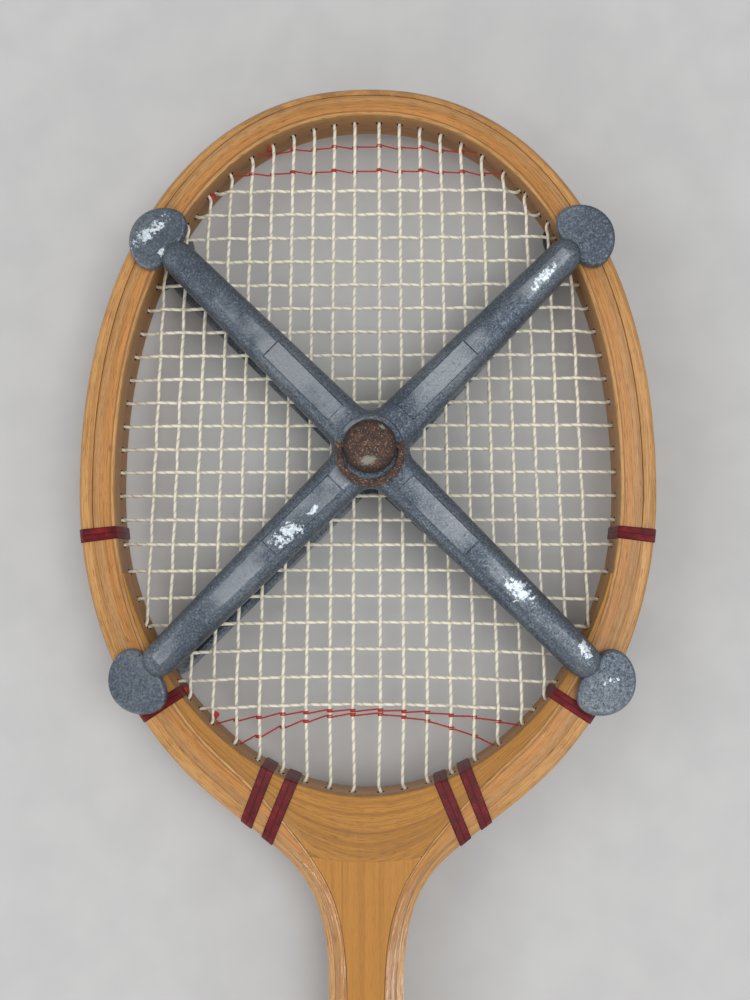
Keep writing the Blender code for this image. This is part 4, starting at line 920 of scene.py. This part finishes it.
def board(name, near_line, far_line, finish):
    """A flat board between two lines of plan points, with softened edges.

    Point (i, j) lies d along the way from near_line[i] to far_line[i], over the top, back
    underneath and up the near edge.
    """
    turns = np.linspace(0, math.pi / 2, 5)
    length = np.linalg.norm(far_line - near_line, axis=1)[:, None]
    way = (far_line - near_line) / length
    reach = np.concatenate((0 * length + BOW_SOFT * (1 - np.cos(turns)),
                            BOW_SOFT + (length - BOW_SOFT) * np.linspace(0, 1, 13)[1:]), axis=1)
    z = HALF_DEPTH - np.concatenate((BOW_SOFT * (1 - np.sin(turns)), np.zeros(12)))
    wall = np.linspace(-1, 1, 5)[1:-1]
    edge = np.zeros((len(length), 3))
    d = np.concatenate((reach, reach[:, ::-1], edge), axis=1)
    heights = np.concatenate((z, -z[::-1], wall * (HALF_DEPTH - BOW_SOFT))) + 0 * d
    points = upright_rows(near_line[:, None] + way[:, None] * d[..., None], heights)
    shade_v = np.concatenate((reach, reach[:, ::-1] + 0.03, edge + 0.06 + wall * 0.01), axis=1)
    chart = np.stack((reached(near_line)[:, None] + 0 * d, shade_v), -1)
    return surface(name, points, finish, around=True, maps={"grain": chart}, caps=True, smooth=45)


def yoke_lines():
    """The yoke's upper edge, x = a cos^p, y = -b sin^p, and its lower one along the bow and the foot."""
    drop = WIDEST_Y - inside_bow(np.array((HORN_PLACE,)))[0, 1]
    start = math.asin((drop / STRUNG_DROP) ** (STRUNG_ROUNDNESS / 2))
    turns = np.linspace(start, math.pi - start, 181)
    power = 2 / STRUNG_ROUNDNESS
    upper = np.stack((np.sign(np.cos(turns)) * np.abs(np.cos(turns)) ** power * STRUNG_HALF_WIDTH,
                      WIDEST_Y - STRUNG_DROP * np.sin(turns) ** power), -1)
    corner = inside_bow(np.array((FOOT_PLACE,)))[0]
    middle = np.abs(upper[:, 0]) < 1.5 * corner[0]
    x = upper[:, 0] / 1.5
    foot = np.stack((x, foot_y(x)), -1)
    reach = reached(upper[:91])
    edge = np.interp(-1.5 * corner[0], -upper[:91, 0], reach)
    share = np.clip(reach / edge, 0, 1)
    side = inside_bow(HORN_PLACE + (FOOT_PLACE - HORN_PLACE) * share)
    side = np.concatenate((side, side[:90][::-1] * np.array((-1.0, 1.0))))
    return upper, np.where(middle[:, None], foot, side)


def long_core(finish):
    """The core: even rows from one inner face of the bow to the other, over the top and back underneath.

    The first rows bend to the yoke's foot, by an eased share, and the last one lies at the butt.
    """
    places = np.concatenate((np.linspace(FOOT_PLACE, 3, 30), np.linspace(3, 4, 30)[1:]))
    half = inside_bow(places)
    x = half[:, :1] * np.linspace(-1, 1, 17)
    arch = eased(0, 1, 1 - np.arange(len(places)) / 8)[:, None]
    y = half[:, 1:] + arch * (foot_y(x) - foot_y(half[:, :1]))
    x, y = (np.concatenate((a, a[:, ::-1]), axis=1) for a in (x, y - WOOD_GAP))
    under = (np.arange(34) > 16) + 0 * x
    points = upright_rows(np.stack((x, y), -1), HALF_DEPTH * (1 - 2 * under))
    chart = np.stack((y, x + 0.05 * under), -1)
    return surface("throat_core", points, finish, around=True, maps={"grain": chart}, caps=True)


def wood(finishes):
    """Bow, strips, yoke and core, drilled where the strings go through."""
    last = np.abs(ENDS["bottom"][1]).max() + CORD_TAIL
    pieces = [(wood_strip("bent_bow", rim_places(-4.0, 4.0), finishes["bow"]), "ash", "inner_bow"),
              (wood_strip("head_strip", rim_places(PLACE_GAP - BINDING_PLACE, BINDING_PLACE - PLACE_GAP),
                          finishes["strip"], 9), "outer_ash", "outer_head_strip")]
    for hand, sign in (("left", -1), ("right", 1)):
        places = sign * rim_places(BINDING_PLACE + PLACE_GAP, 4.0)
        strip = wood_strip(f"{hand}_strip", places, finishes["strip"], last)
        pieces.append((strip, "outer_ash", f"{hand}_shoulder_strip"))
    pieces.append((board("crescent_yoke", *yoke_lines(), finishes["yoke"]), "yoke_wood", "throat_yoke"))
    holes = hole_cutters()
    for piece, slot, node in pieces:
        dress(carved(piece, [("DIFFERENCE", holes)], 45, keep=True), "racket", slot, node)
    bpy.data.objects.remove(holes, do_unlink=True)
    dress(long_core(finishes["core"]), "racket", "ash", "throat_wedge")


def hole_cutters():
    """Round bars along every drilled hole: R (cos t, sin t) at both ends, past the wood.

    Their chart marks the drilled faces, where the wood's finish paints shade inside the holes.
    """
    mouths, places = (np.concatenate([ENDS[name][k] for name in ENDS]) for k in (0, 1))
    lanes = np.concatenate([np.full(len(ENDS[name][1]), ENDS[name][2]) for name in ENDS])
    exits = rim(places)[0]
    way = unit(exits - mouths)
    beside = np.stack((-way[:, 1], way[:, 0]), -1)[:, None]
    turns = circle(HOLE_SIDES)
    rings = [upright_rows(centre[:, None] + HOLE_RADIUS * np.cos(turns)[:, None] * beside,
                          lanes[:, None] + HOLE_RADIUS * np.sin(turns))
             for centre in (mouths - HOLE_OVERRUN * way, exits + HOLE_OVERRUN * way)]
    start = np.arange(len(mouths))[:, None] * 2 * HOLE_SIDES
    j = start + np.arange(HOLE_SIDES)
    k = start + np.roll(np.arange(HOLE_SIDES), -1)
    quads = np.stack((j, k, k + HOLE_SIDES, j + HOLE_SIDES), -1).reshape(-1, 4)
    mesh = bpy.data.meshes.new("drill_bars")
    mesh.from_pydata(np.stack(rings, 1).reshape(-1, 3).tolist(), [],
                     quads.tolist() + j[:, ::-1].tolist() + (j + HOLE_SIDES).tolist())
    layer = mesh.uv_layers.new(name="grain")
    layer.data.foreach_set("uv", np.full(2 * len(layer.data), DRILLED_CHART))
    return placed("drill_bars", mesh, None)


# Strings, trebling and bindings

def strings(finish):
    """Both strings. Gives back the points of the mains."""
    mains, crosses = woven_lines()
    route = softened(threaded(mains, "top", "bottom", CORD_LANE, (-CORD_TAIL, CORD_TAIL)))
    dress(cord_surface("long_string", route, CORD_RADIUS, finish), "racket", "string", "main_string")
    route = softened(threaded(crosses, "left", "right", -CORD_LANE, (CORD_TAIL, -CORD_TAIL)))
    dress(cord_surface("wide_string", route, CORD_RADIUS, finish), "racket", "string", "cross_string")
    return mains


def treble_route(from_end, fall, at_top, mains):
    """A thread across the mains that takes one turn round each main it meets.

    Round a main it follows x = xm - R cos a, z = zm + R sin a, while y creeps on.
    """
    middle, onward = (HEAD_TOP_Y - from_end, 1) if at_top else (WIDEST_Y - STRUNG_DROP + from_end, -1)

    def row_y(x):
        """The thread's row: a parabola that falls away from the middle."""
        return middle - fall * (x / TREBLE_FALL_REACH) ** 2

    reach = STRUNG_HALF_WIDTH / 2
    for _ in range(30):
        reach = float(strung_x(row_y(reach)))
    reach -= TREBLE_TO_RIM
    turns, round_it = np.linspace(0, 3 * math.pi, 22), CORD_RADIUS + THREAD_RADIUS
    creep = onward * THREAD_CREEP * np.sin(math.pi * np.clip(turns / math.pi - 1.5, -0.5, 0.5))
    parts = [np.array(((-reach, row_y(reach), MID_Z + THREAD_END_RISE),))]
    for main in range(MAINS):
        x = 0.0
        for _ in range(6):
            y = float(row_y(x))
            x = float(main_x(main, y))
        if abs(x) > reach - TREBLE_TO_MAIN:
            continue
        line = mains[main][::-1]
        z = np.interp(y, line[:, 1], line[:, 2])
        parts.append(np.stack((x - round_it * np.cos(turns), y + creep, z + round_it * np.sin(turns)), -1))
    parts.append(np.array(((reach, row_y(reach), MID_Z + THREAD_END_RISE),)))
    return np.concatenate(parts)


def trebling(finish, mains):
    """The four red threads: distance from the strung bed's end, fall at TREBLE_FALL_REACH, and end."""
    rows = (("top_trebling_upper", 20.4, 4.5, True), ("top_trebling_lower", 30.7, 1.5, True),
            ("throat_trebling_upper", 31.8, 3.8, False), ("throat_trebling_lower", 30.3, 11.8, False))
    for node, from_end, fall, at_top in rows:
        route = softened(treble_route(from_end * MM, fall * MM, at_top, mains), 0.45 * MM, 2)
        name = node.replace("trebling", "red_thread")
        dress(cord_surface(name, route, THREAD_RADIUS, finish, 6), "racket", "trebling_thread", node)


def tie_knots(finish):
    """Small knots where the red thread is tied off: a ball bulged by 1 + 0.18 sin(3 t + 4 s)."""
    turns, rises = circle(16), np.linspace(0, math.pi, 11)[:, None]
    radius = KNOT_RADIUS * (1 + 0.18 * np.sin(3 * turns + 4 * rises))
    ring = np.sin(rises) * radius
    lump = np.stack((ring * np.cos(turns), ring * np.sin(turns),
                     MID_Z - 0.2 * MM + 1.2 * radius * np.cos(rises)), -1)
    for number, (x, y) in enumerate(((-64.5, 302.0), (-40.2, 322.6), (-72.6, 100.5), (-60.5, 90.7))):
        points = lump + np.array((x, y, 0.0)) * MM
        knot = surface(f"thread_knot_{number + 1}", points, finish, around=True,
                       maps={"twist": np.zeros((11, 16, 2))}, smooth=80)
        dress(knot, "racket", "trebling_thread")


def corner_ways(corners, steps):
    """Outward ways that turn from one side's normal to the next one's at each of corners[i, j, 2]."""
    after = np.roll(corners, -1, axis=1) - corners
    normal = unit(np.stack((-after[..., 1], after[..., 0]), -1))[:, :, None]
    t = np.linspace(0, 1, steps)[:, None]
    return unit(np.roll(normal, 1, axis=1) * (1 - t) + normal * t)


def band_surface(name, places, inner, finish):
    """Thread wound round the wood: the section's outline, offset outwards and ridged.

    The outline turns each corner on an arc of the offset. Across the band the offset has
    small cosine ridges, one for each thread, and it comes back underneath.
    """
    outer, _, _, _, across, down = rim(places)
    way = inner - outer
    length = np.linalg.norm(way, axis=1)
    d = np.stack((0 * length, across, length, length, across, 0 * length), -1)
    high = np.full(2, HALF_DEPTH)
    z = np.stack((high - down, high, high, -high, -high, down - high), -1)
    share = np.linspace(0, 1, 46)
    corners = np.stack((between(d, share), between(z, share)), -1)
    ways_out = corner_ways(corners, 4)
    ridges = BINDING_THICKNESS + BINDING_RIDGE * np.cos(share * 2 * math.pi * BINDING_THREADS)
    ends = np.minimum(1, np.minimum(share, 1 - share) / 0.05) ** 0.5
    offset = (BINDING_EDGE + (ridges - BINDING_EDGE) * ends)[:, None, None, None]
    start, way = between(outer, share), unit(between(way / length[:, None], share))
    rows = []
    for out, order in ((offset * ways_out, slice(None)), (BINDING_SINK * ways_out, slice(None, None, -1))):
        spot = (corners[:, :, None] + out)[order].reshape(len(share), -1, 2)
        rows.append(upright_rows(start[order][:, None] + way[order][:, None] * spot[..., :1], spot[..., 1]))
    points = np.concatenate(rows)
    over = np.concatenate((share, share[::-1], share[:1]))
    chart = np.stack(np.broadcast_arrays(over[:, None], np.linspace(0, 1, points.shape[1] + 1)), -1)
    return surface(name, points, finish, around=True, along_closed=True, maps={"band": chart}, smooth=60)


def spread_place(place, width=BINDING_WIDTH):
    """The two places at the edges of a binding."""
    step = 0.001
    speed = np.linalg.norm(rim(place + step)[0] - rim(place)[0]) / step
    return np.array((place - width / 2 / speed, place + width / 2 / speed))


def spread_inner(x, width=BINDING_WIDTH):
    """The two points of the strung edge at the edges of a binding, the outer one first."""
    step = 0.1 * MM
    slope = (strung_y(x + step, False) - strung_y(x, False)) / step
    half = width / 2 / math.hypot(1, slope)
    xs = np.array((x + half, x - half))
    return np.stack((xs, strung_y(xs, False)), -1)


def bindings(finish):
    """Eight wound bands: those on the right, each with its mirror image on the left."""
    mouths, places = ENDS["bottom"][:2]
    side = spread_place(BINDING_PLACE)
    outer, inward = rim(side)[:2]
    x = (mouths[17, 0] + ENDS["right"][0][20, 0]) / 2
    outside = places[17] + 0.75 * (places[18] - places[17])
    bands = [("side_binding", side, outer + inward * RIM_AT_SIDE),
             ("shoulder_binding", spread_place(outside, SHOULDER_BINDING_WIDTH),
              spread_inner(x, SHOULDER_BINDING_WIDTH))]
    for which, main in (("inner", 12), ("outer", 13)):
        x = (mouths[main, 0] + mouths[main + 1, 0]) / 2
        place = (places[main - 1] + places[main]) / 2
        bands.append((f"throat_binding_{which}", spread_place(place), spread_inner(x)))
    for name, where, inner in bands:
        for hand, sign in (("right", 1.0), ("left", -1.0)):
            mirrored = inner * np.array((sign, 1.0))
            wound = band_surface(f"{hand}_wound_{name}", sign * where, mirrored, finish)
            dress(wound, "racket", "binding_thread", f"{hand}_{name}")


# The press

def arm_reach(rise, past):
    """Reach and lean of a pad: where a ray from the hub meets the middle of the wood."""
    table = np.linspace(0.02, 2, 4001)
    outer, inward, width = rim(table)[:3]
    middle = outer + inward * width[:, None] / 2
    angle = np.arctan2(middle[:, 1] - HUB_Y, middle[:, 0])
    place = np.interp(-rise, -angle, table)
    outer, inward, width = rim(place)[:3]
    x, y = outer + inward * width / 2
    lean = math.atan2(-inward[1], -inward[0]) - rise
    return math.hypot(x, y - HUB_Y) + past, PAD_LEAN * lean


def arms(turn):
    """Direction, reach and pad facing of the four arms."""
    high, low = arm_reach(math.pi / 4, HIGH_PAD_PAST), arm_reach(-math.pi / 4, LOW_PAD_PAST)
    for corner, (reach, lean), side in ((0, high, 1), (1, high, -1), (2, low, -1), (3, low, 1)):
        angle = math.pi / 4 + corner * math.pi / 2 + turn
        yield angle, reach, angle + side * lean


def turned(angle, along, across):
    """Plan points that lie along and to the left of a direction."""
    along, across = np.broadcast_arrays(along, across)
    return np.stack((along * math.cos(angle) - across * math.sin(angle),
                     along * math.sin(angle) + across * math.cos(angle)), -1)


def cross_plan(turn, inset):
    """The X from above: round arm ends, straight tapering sides, round crotches."""
    slant = math.sqrt(0.5)
    crotch_radius = (CROTCH * slant - ARM_AT_HUB) / (1 - slant)
    end, bend = ARM_AT_END - inset, crotch_radius + inset
    half, quarter = np.linspace(-math.pi / 2, math.pi / 2, 17), np.linspace(-math.pi / 4, math.pi / 4, 13)
    parts = []
    for angle, reach, _ in arms(turn):
        centre = reach - ARM_SHORT - ARM_AT_END
        parts.append(turned(angle, centre + end * np.cos(half), end * np.sin(half)))
        parts.append(turned(angle + math.pi / 4, CROTCH + crotch_radius - bend * np.cos(quarter),
                            bend * np.sin(quarter)))
    return np.concatenate(parts)


def pad_plan(angle, reach, facing, inset):
    """A kidney: an ellipse whose ends curl back towards the arm, by the square of the way across."""
    t = circle(48)
    across = (PAD_LENGTH - inset) * np.sin(t)
    out = (PAD_WIDTH - inset) * np.cos(t) - PAD_CURL * (across / PAD_LENGTH) ** 2
    return turned(angle, reach, 0.0) + turned(facing, out, across)


def stacked(name, rows, way, seat, finish=None, smooth=40):
    """Plans round the hub, each at its height off the seat, joined to one solid."""
    points = [np.column_stack((flat + np.array((HUB_X, HUB_Y)), np.full(len(flat), seat + way * height)))
              for flat, height in rows]
    return surface(name, np.stack(points), finish, around=True, caps=True, smooth=smooth)


def standing(name, plan, base, top, rounding, steps, way, seat, finish):
    """A plan stood up from base to top, its far edge rounded over a quarter circle."""
    rows = [(plan(0.0), base)]
    for turn in np.linspace(0, math.pi / 2, steps + 1):
        rows.append((plan(rounding * (1 - math.cos(turn))), top - rounding * (1 - math.sin(turn))))
    rows.append((plan(rounding + 0.25 * MM), top))
    return stacked(name, rows, way, seat, finish, 35)


def bar_plan(angle, start, end, near_half, far_half):
    """The four corners of a bar that lies along a direction."""
    halves = np.array((-near_half, -far_half, far_half, near_half))
    return turned(angle, np.array((start, end, end, start)), halves)


def disc(radius, steps=48):
    """A circle of plan points: radius times (cos t, sin t)."""
    return radius * np.stack((np.cos(circle(steps)), np.sin(circle(steps))), -1)


def press_half(name, node, body, way, seat, turn, finish):
    """One casting: arms, pads, hub and bare panels, joined and cut as the foundry would."""
    casting = standing(name, lambda inset: cross_plan(turn, inset), 0.5 * MM, ARM_HEIGHT, ARM_ROUNDING, 12,
                       way, seat, finish)
    steps = []
    for number, (angle, reach, facing) in enumerate(arms(turn)):
        pad = standing(f"{name}_pad_{number}", lambda inset: pad_plan(angle, reach, facing, inset), 0.0,
                       PAD_HEIGHT, PAD_ROUNDING, 6, way, seat, finish)
        steps.append(("UNION", pad))
        plan = bar_plan(angle, CHANNEL_START, reach - CHANNEL_SHORT, 6.4 * MM, 4.2 * MM)
        rows = ((plan, -PAD_GAP), (plan, CHANNEL_HEIGHT))
        steps.append(("DIFFERENCE", stacked(f"{name}_channel_{number}", rows, way, seat)))
        for label, step, inset, low, high in PANEL_STEPS:
            half = PANEL_HALF_WIDTH - inset
            plan = bar_plan(angle, PANEL_START + inset, PANEL_END - inset, half, half)
            rows = ((plan, low), (plan, high))
            steps.append((step, stacked(f"{name}_panel_{label}_{number}", rows, way, seat)))
    if way > 0:
        boss = standing(f"{name}_boss", lambda inset: disc(BOSS_RADIUS - inset), 4.0 * MM, BOSS_HEIGHT,
                        0.9 * MM, 4, way, seat, finish)
        steps.append(("UNION", boss))
    bore = disc(BORE_RADIUS, 24)
    steps.append(("DIFFERENCE", stacked(f"{name}_bore", ((bore, -20 * MM), (bore, 20 * MM)), way, seat)))
    dress(carved(casting, steps, 32), body, "cast_metal", node)


def side_bar(name, side, reach, radius, count, finish=None):
    """A round bar on the bail's axis, between two distances in mm on one side of the screw."""
    turns = circle(count)
    ring = np.stack((0 * turns, radius * np.cos(turns), radius * np.sin(turns)), -1)
    ends = [ring + np.array((HUB_X + side * d * MM, HUB_Y, PIVOT_Z)) for d in reach]
    return surface(name, np.stack(ends), finish, around=True, caps=True)


def screw(finish):
    """The clamp screw: a ridged shank, a collar and a domed knob, spun with a faint ripple.

    The shank is R + r cos(2 pi z / pitch), and the dome a quarter of an ellipse.
    """
    shank = np.linspace(1.0 * MM - SCREW_HEAD_Z, -0.3 * MM, 161)
    ridges = SHANK_RADIUS + SHANK_RIDGE * np.cos(2 * math.pi * shank / SHANK_PITCH)
    rises = np.radians(np.linspace(0, 87, 16))
    profile = np.concatenate((
        ((1.5 * MM, shank[0]),), np.stack((ridges, shank), -1)[1:],
        ((2.4 * MM, 0.0), (KNOB_RADIUS - 0.9 * MM, 0.0), (KNOB_RADIUS - 0.25 * MM, 0.25 * MM),
         (KNOB_RADIUS, 0.9 * MM), (KNOB_RADIUS, 2.4 * MM)),
        np.stack((KNOB_RADIUS * np.cos(rises), 3.0 * MM + KNOB_DOME * np.sin(rises)), -1)))
    radius, height = profile.T[..., None]
    turns = circle(72)
    spun = radius * (1 + 0.004 * np.sin(5 * turns + 30 * height / height.max()))
    points = np.stack((HUB_X + spun * np.cos(turns), HUB_Y + spun * np.sin(turns),
                       SCREW_HEAD_Z + height + 0 * spun), -1)
    knob = surface("screw_knob", points, finish, around=True, caps=True, smooth=50)
    drills = [("DIFFERENCE", side_bar(f"bail_drill_{side}", side, (7.75, 12.6), BAIL_DRILL_RADIUS, 16))
              for side in (-1, 1)]
    dress(carved(knob, drills, 50), "screw", "rusty_steel", "clamp_screw")


def bail(finish):
    """The folding bail: a rounded strip bent to a U, with a pin in each ear.

    Its section is a squared oval, w sign(c) |c|^0.5 by h sign(s) |s|^0.7, carried round half
    a circle between two short straights.
    """
    bend = np.linspace(0, -math.pi, 41)
    u = np.concatenate(((1, 1), np.cos(bend), (-1, -1)))[:, None]
    v = np.concatenate(((0, 0), np.sin(bend), (0, 0)))[:, None]
    shift = np.concatenate(((2.0, 0.0), np.full(41, -2.2), (0.0, 2.0)))[:, None] * MM
    tip = np.ones_like(u)
    tip[[0, -1]] = 0.7
    c, s = np.cos(circle(20)), np.sin(circle(20))
    wide, thick = 1.45 * MM * np.sign(c) * np.abs(c) ** 0.5, 0.8 * MM * np.sign(s) * np.abs(s) ** 0.7
    points = np.stack((HUB_X + (BAIL_RADIUS + wide * tip) * u, HUB_Y + shift + (BAIL_RADIUS + wide) * v,
                       PIVOT_Z + thick * tip), -1)
    loop = surface("bail_loop", points, finish, around=True, caps=True, smooth=60)
    pins = [("UNION", side_bar(f"bail_pin_{side}", side, (7.95, 12.9), BAIL_PIN_RADIUS, 20, finish))
            for side in (-1, 1)]
    dress(carved(loop, pins, 60), "bail", "rusty_steel", "screw_bail")


# The handle

def octagon(half_width, half_depth, flat, side_flat):
    """The eight corners (x, z) of a section, clockwise from the top right."""
    right = [(flat, half_depth), (half_width, side_flat), (half_width, -side_flat), (flat, -half_depth)]
    return np.array(right + [(-x, z) for x, z in reversed(right)])


def grown(outline, extra):
    """An outline with every side moved out by the same amount."""
    sides = unit(np.roll(outline, -1, axis=0) - outline)
    out = np.stack((-sides[:, 1], sides[:, 0]), -1)
    before = np.roll(out, 1, axis=0)
    return outline + extra * (out + before) / (1 + (out * before).sum(axis=1))[:, None]


SHAFT_OUTLINE = octagon(SHAFT_HALF_WIDTH, HALF_DEPTH, SHAFT_HALF_WIDTH - SHAFT_BEVEL[0],
                        HALF_DEPTH - SHAFT_BEVEL[1])
HANDLE_OUTLINE = octagon(15.9 * MM, 13.6 * MM, 8.4 * MM, 6.4 * MM)


def handle_rows(ys):
    """The pallets' outline at each y, run down to the shaft at the top."""
    share = np.clip((ys - (PALLET_END_Y - TAPER_LENGTH)) / TAPER_LENGTH, 0, 1)[:, None, None]
    return HANDLE_OUTLINE * (1 - share) + grown(SHAFT_OUTLINE, 0.7 * MM) * share


def handle_skin(ys, offset):
    """Points round the handle at each y: its outline moved out by offset[i, j], on arcs at the corners."""
    corners = handle_rows(ys)
    ways = corner_ways(corners, 5).reshape(len(ys), -1, 2)
    section = np.repeat(corners, 5, axis=1) + ways * offset[..., None]
    return np.stack((section[..., 0], ys[:, None] + 0 * section[..., 0], MID_Z + section[..., 1]), -1)


def grip(finish):
    """A leather strip wound up the handle.

    The offset grows as saw^0.6 along each turn of the spiral and drops at the overlap, where
    saw is the share of the way from one overlap to the next.
    """
    ys = np.linspace(GRIP_START_Y, GRIP_END_Y, 360)
    phase = (ys[:, None] - GRIP_START_Y) / LEATHER_PITCH + np.linspace(0, 1, 41)[:-1]
    saw = phase - np.floor(phase)
    lap = 1.35 * MM + 0.45 * MM * saw ** 0.6 - 0.25 * MM * np.exp(-((saw - 0.03) / 0.03) ** 2)
    inner = np.full((len(ys), 1), 0.25 * MM)
    points = np.concatenate((handle_skin(ys, LEATHER_GAP + lap), handle_skin(ys[::-1], inner)))
    wound = surface("wound_grip", points, finish, around=True, along_closed=True, smooth=50)
    dress(wound, "racket", "leather", "leather_grip")


def shell(name, node, profile, closed, finish):
    """Leather round the handle: profile[i] gives y and the offset from the pallets' outline.

    The outer skin, offset more than 1 mm, carries waves of 0.05 sin(4 t + 700 y) mm.
    """
    ys, offset = np.asarray(profile).T
    waves = 0.05 * MM * (np.sin(4 * circle(40) + 700 * ys[:, None]) - 1)
    points = handle_skin(ys, offset[:, None] + np.where(offset[:, None] > 1 * MM, waves, 0.0))
    made = surface(name, points, finish, around=True, along_closed=closed, caps=not closed, smooth=50)
    dress(made, "racket", "butt_leather", node)


def collar_and_cap(finish):
    """The collar at the top of the grip, and the flared cap on the butt, both with quarter-round edges."""
    roll = np.linspace(0, math.pi / 2, 6)
    start, end = GRIP_END_Y + LEATHER_GAP, PALLET_END_Y
    low = [(start + 0.6 * MM * (1 - math.sin(a)), (1.1 + 0.6 * math.cos(a)) * MM) for a in roll[::-1]]
    high = [(end - 0.6 * MM * (1 - math.sin(a)), (1.1 + 0.6 * math.cos(a)) * MM) for a in roll]
    middle = [(y, 1.7 * MM) for y in np.linspace(start + 0.6 * MM, end - 0.6 * MM, 14)[1:-1]]
    back = [(y, 0.3 * MM) for y in np.linspace(end, start, 8)]
    shell("rolled_collar", "grip_collar", low + middle + high + back, True, finish)
    edge = [(1.2 * (1 - math.cos(a)), 2.2 + 1.2 * math.sin(a)) for a in roll]
    flare = [(1.2 + 20.4 * s, 1.6 + 1.8 * (1 - s) ** 1.5) for s in np.linspace(0, 1, 18)[1:]]
    lip = [(21.6 + 0.4 * math.sin(a), 1.2 + 0.4 * math.cos(a)) for a in roll[1:]]
    inside = [(22.0, 0.3), (2.7, 0.3)]
    profile = [(BUTT_Y + rise * MM, offset * MM) for rise, offset in edge + flare + lip + inside]
    shell("flared_cap", "butt_cap", profile, False, finish)


# The room

def put(name, data, place, tilt):
    """Adds a lamp or the camera to the scene."""
    made = bpy.data.objects.new(name, data)
    made.location, made.rotation_euler = place, tilt
    bpy.context.scene.collection.objects.link(made)
    return made


def room():
    """Plain floor, soft studio light and the camera at the photograph's angle."""
    scene = bpy.context.scene
    grid = np.linspace(-FLOOR_REACH, FLOOR_REACH, 9)
    x, y = np.meshgrid(grid, grid, indexing="ij")
    surface("floor", np.stack((x, y, np.full_like(x, FLOOR_Z)), -1), floor_finish())
    scene.world = bpy.data.worlds.new("studio")
    scene.world.use_nodes = True
    sky = scene.world.node_tree.nodes["Background"].inputs
    sky["Color"].default_value = (1.0, 0.99, 0.98, 1.0)
    sky["Strength"].default_value = 0.50
    for name, place, aim, power, width, height in LAMPS:
        lamp = bpy.data.lights.new(name, "AREA")
        lamp.shape, lamp.energy, lamp.size, lamp.size_y = "RECTANGLE", power, width, height
        x, y, z = np.array(aim) - np.array(place)
        put(name, lamp, place, (math.atan2(math.hypot(x, y), -z), 0.0, math.atan2(x, -y) + math.pi))
    lens = bpy.data.cameras.new("camera")
    lens.sensor_fit, lens.sensor_height, lens.lens, lens.clip_start = "VERTICAL", 36.0, 36.36, 0.01
    scene.camera = put("camera", lens, CAMERA_PLACE, CAMERA_TILT)
    scene.view_settings.view_transform = "Standard"


def main():
    """Makes each finish and the pieces that wear it, then the room."""
    gut = cord_finish("gut_finish", (0.86, 0.82, 0.68), (0.45, 0.43, 0.36), 4.2 * MM, 0.45)
    red = cord_finish("red_thread_finish", (0.50, 0.035, 0.02), (0.22, 0.012, 0.01), 1.1 * MM, 0.55)
    mains = strings(gut)
    trebling(red, mains)
    tie_knots(red)
    wood({"bow": varnished("bow_finish", bow_colour, 0.0),
          "strip": varnished("strip_finish", strip_colour, 3.1),
          "yoke": varnished("yoke_finish", yoke_colour, 5.3, 1300.0, 420.0),
          "core": varnished("core_finish", wedge_colour, 8.7, 1700.0, 600.0, (0.36, 0.155, 0.025), 0.5)})
    bindings(binding_finish())
    upper = casting_finish("upper_casting_finish", (
        (-86.2, 282.6, 3.0, 40, 7.0), (-81.0, 274.3, 1.0, 0, 4.6), (69.0, 262.0, 2.8, 49, 5.8),
        (58.3, 140.8, 2.1, -38, 8.6), (83.3, 118.1, 1.6, -60, 6.5), (-30.3, 162.1, 2.3, 36, 8.6),
        (-20.4, 170.9, 2.6, 42, 3.4), (94.4, 106.0, 2.2, 20, 3.4)))
    lower = casting_finish("lower_casting_finish", ())
    press_half("upper_casting", "upper_press_cross", "upper_press", 1, UPPER_SEAT_Z, 0.0, upper)
    press_half("lower_casting", "lower_press_cross", "lower_press", -1, LOWER_SEAT_Z, LOWER_CROSS_TURN, lower)
    # The screw's pale spots: a pale patch low on the knob, and a painted highlight up on its right.
    screw(rust_finish("screw_rust", ((1.2, 189.7, 1.8, 10, 4.0), (6.6, 202.4, 2.2, -40, 1.6)),
                      # The knob itself as one spot, for painted shade at its rim.
                      (1.9, 195.5, 1.0, 0, 11.5)))
    bail(rust_finish("bail_rust"))
    brown = leather_finish("grip_leather", (0.115, 0.050, 0.024), (0.040, 0.018, 0.010))
    black = leather_finish("cap_leather", (0.050, 0.028, 0.018), (0.018, 0.011, 0.008))
    grip(brown)
    collar_and_cap(black)
    ash = pallet_finish()
    for node in ("handle_upper_pallet", "handle_lower_pallet"):
        NODES[node].data.materials.clear()
        NODES[node].data.materials.append(ash)
    room()


main()
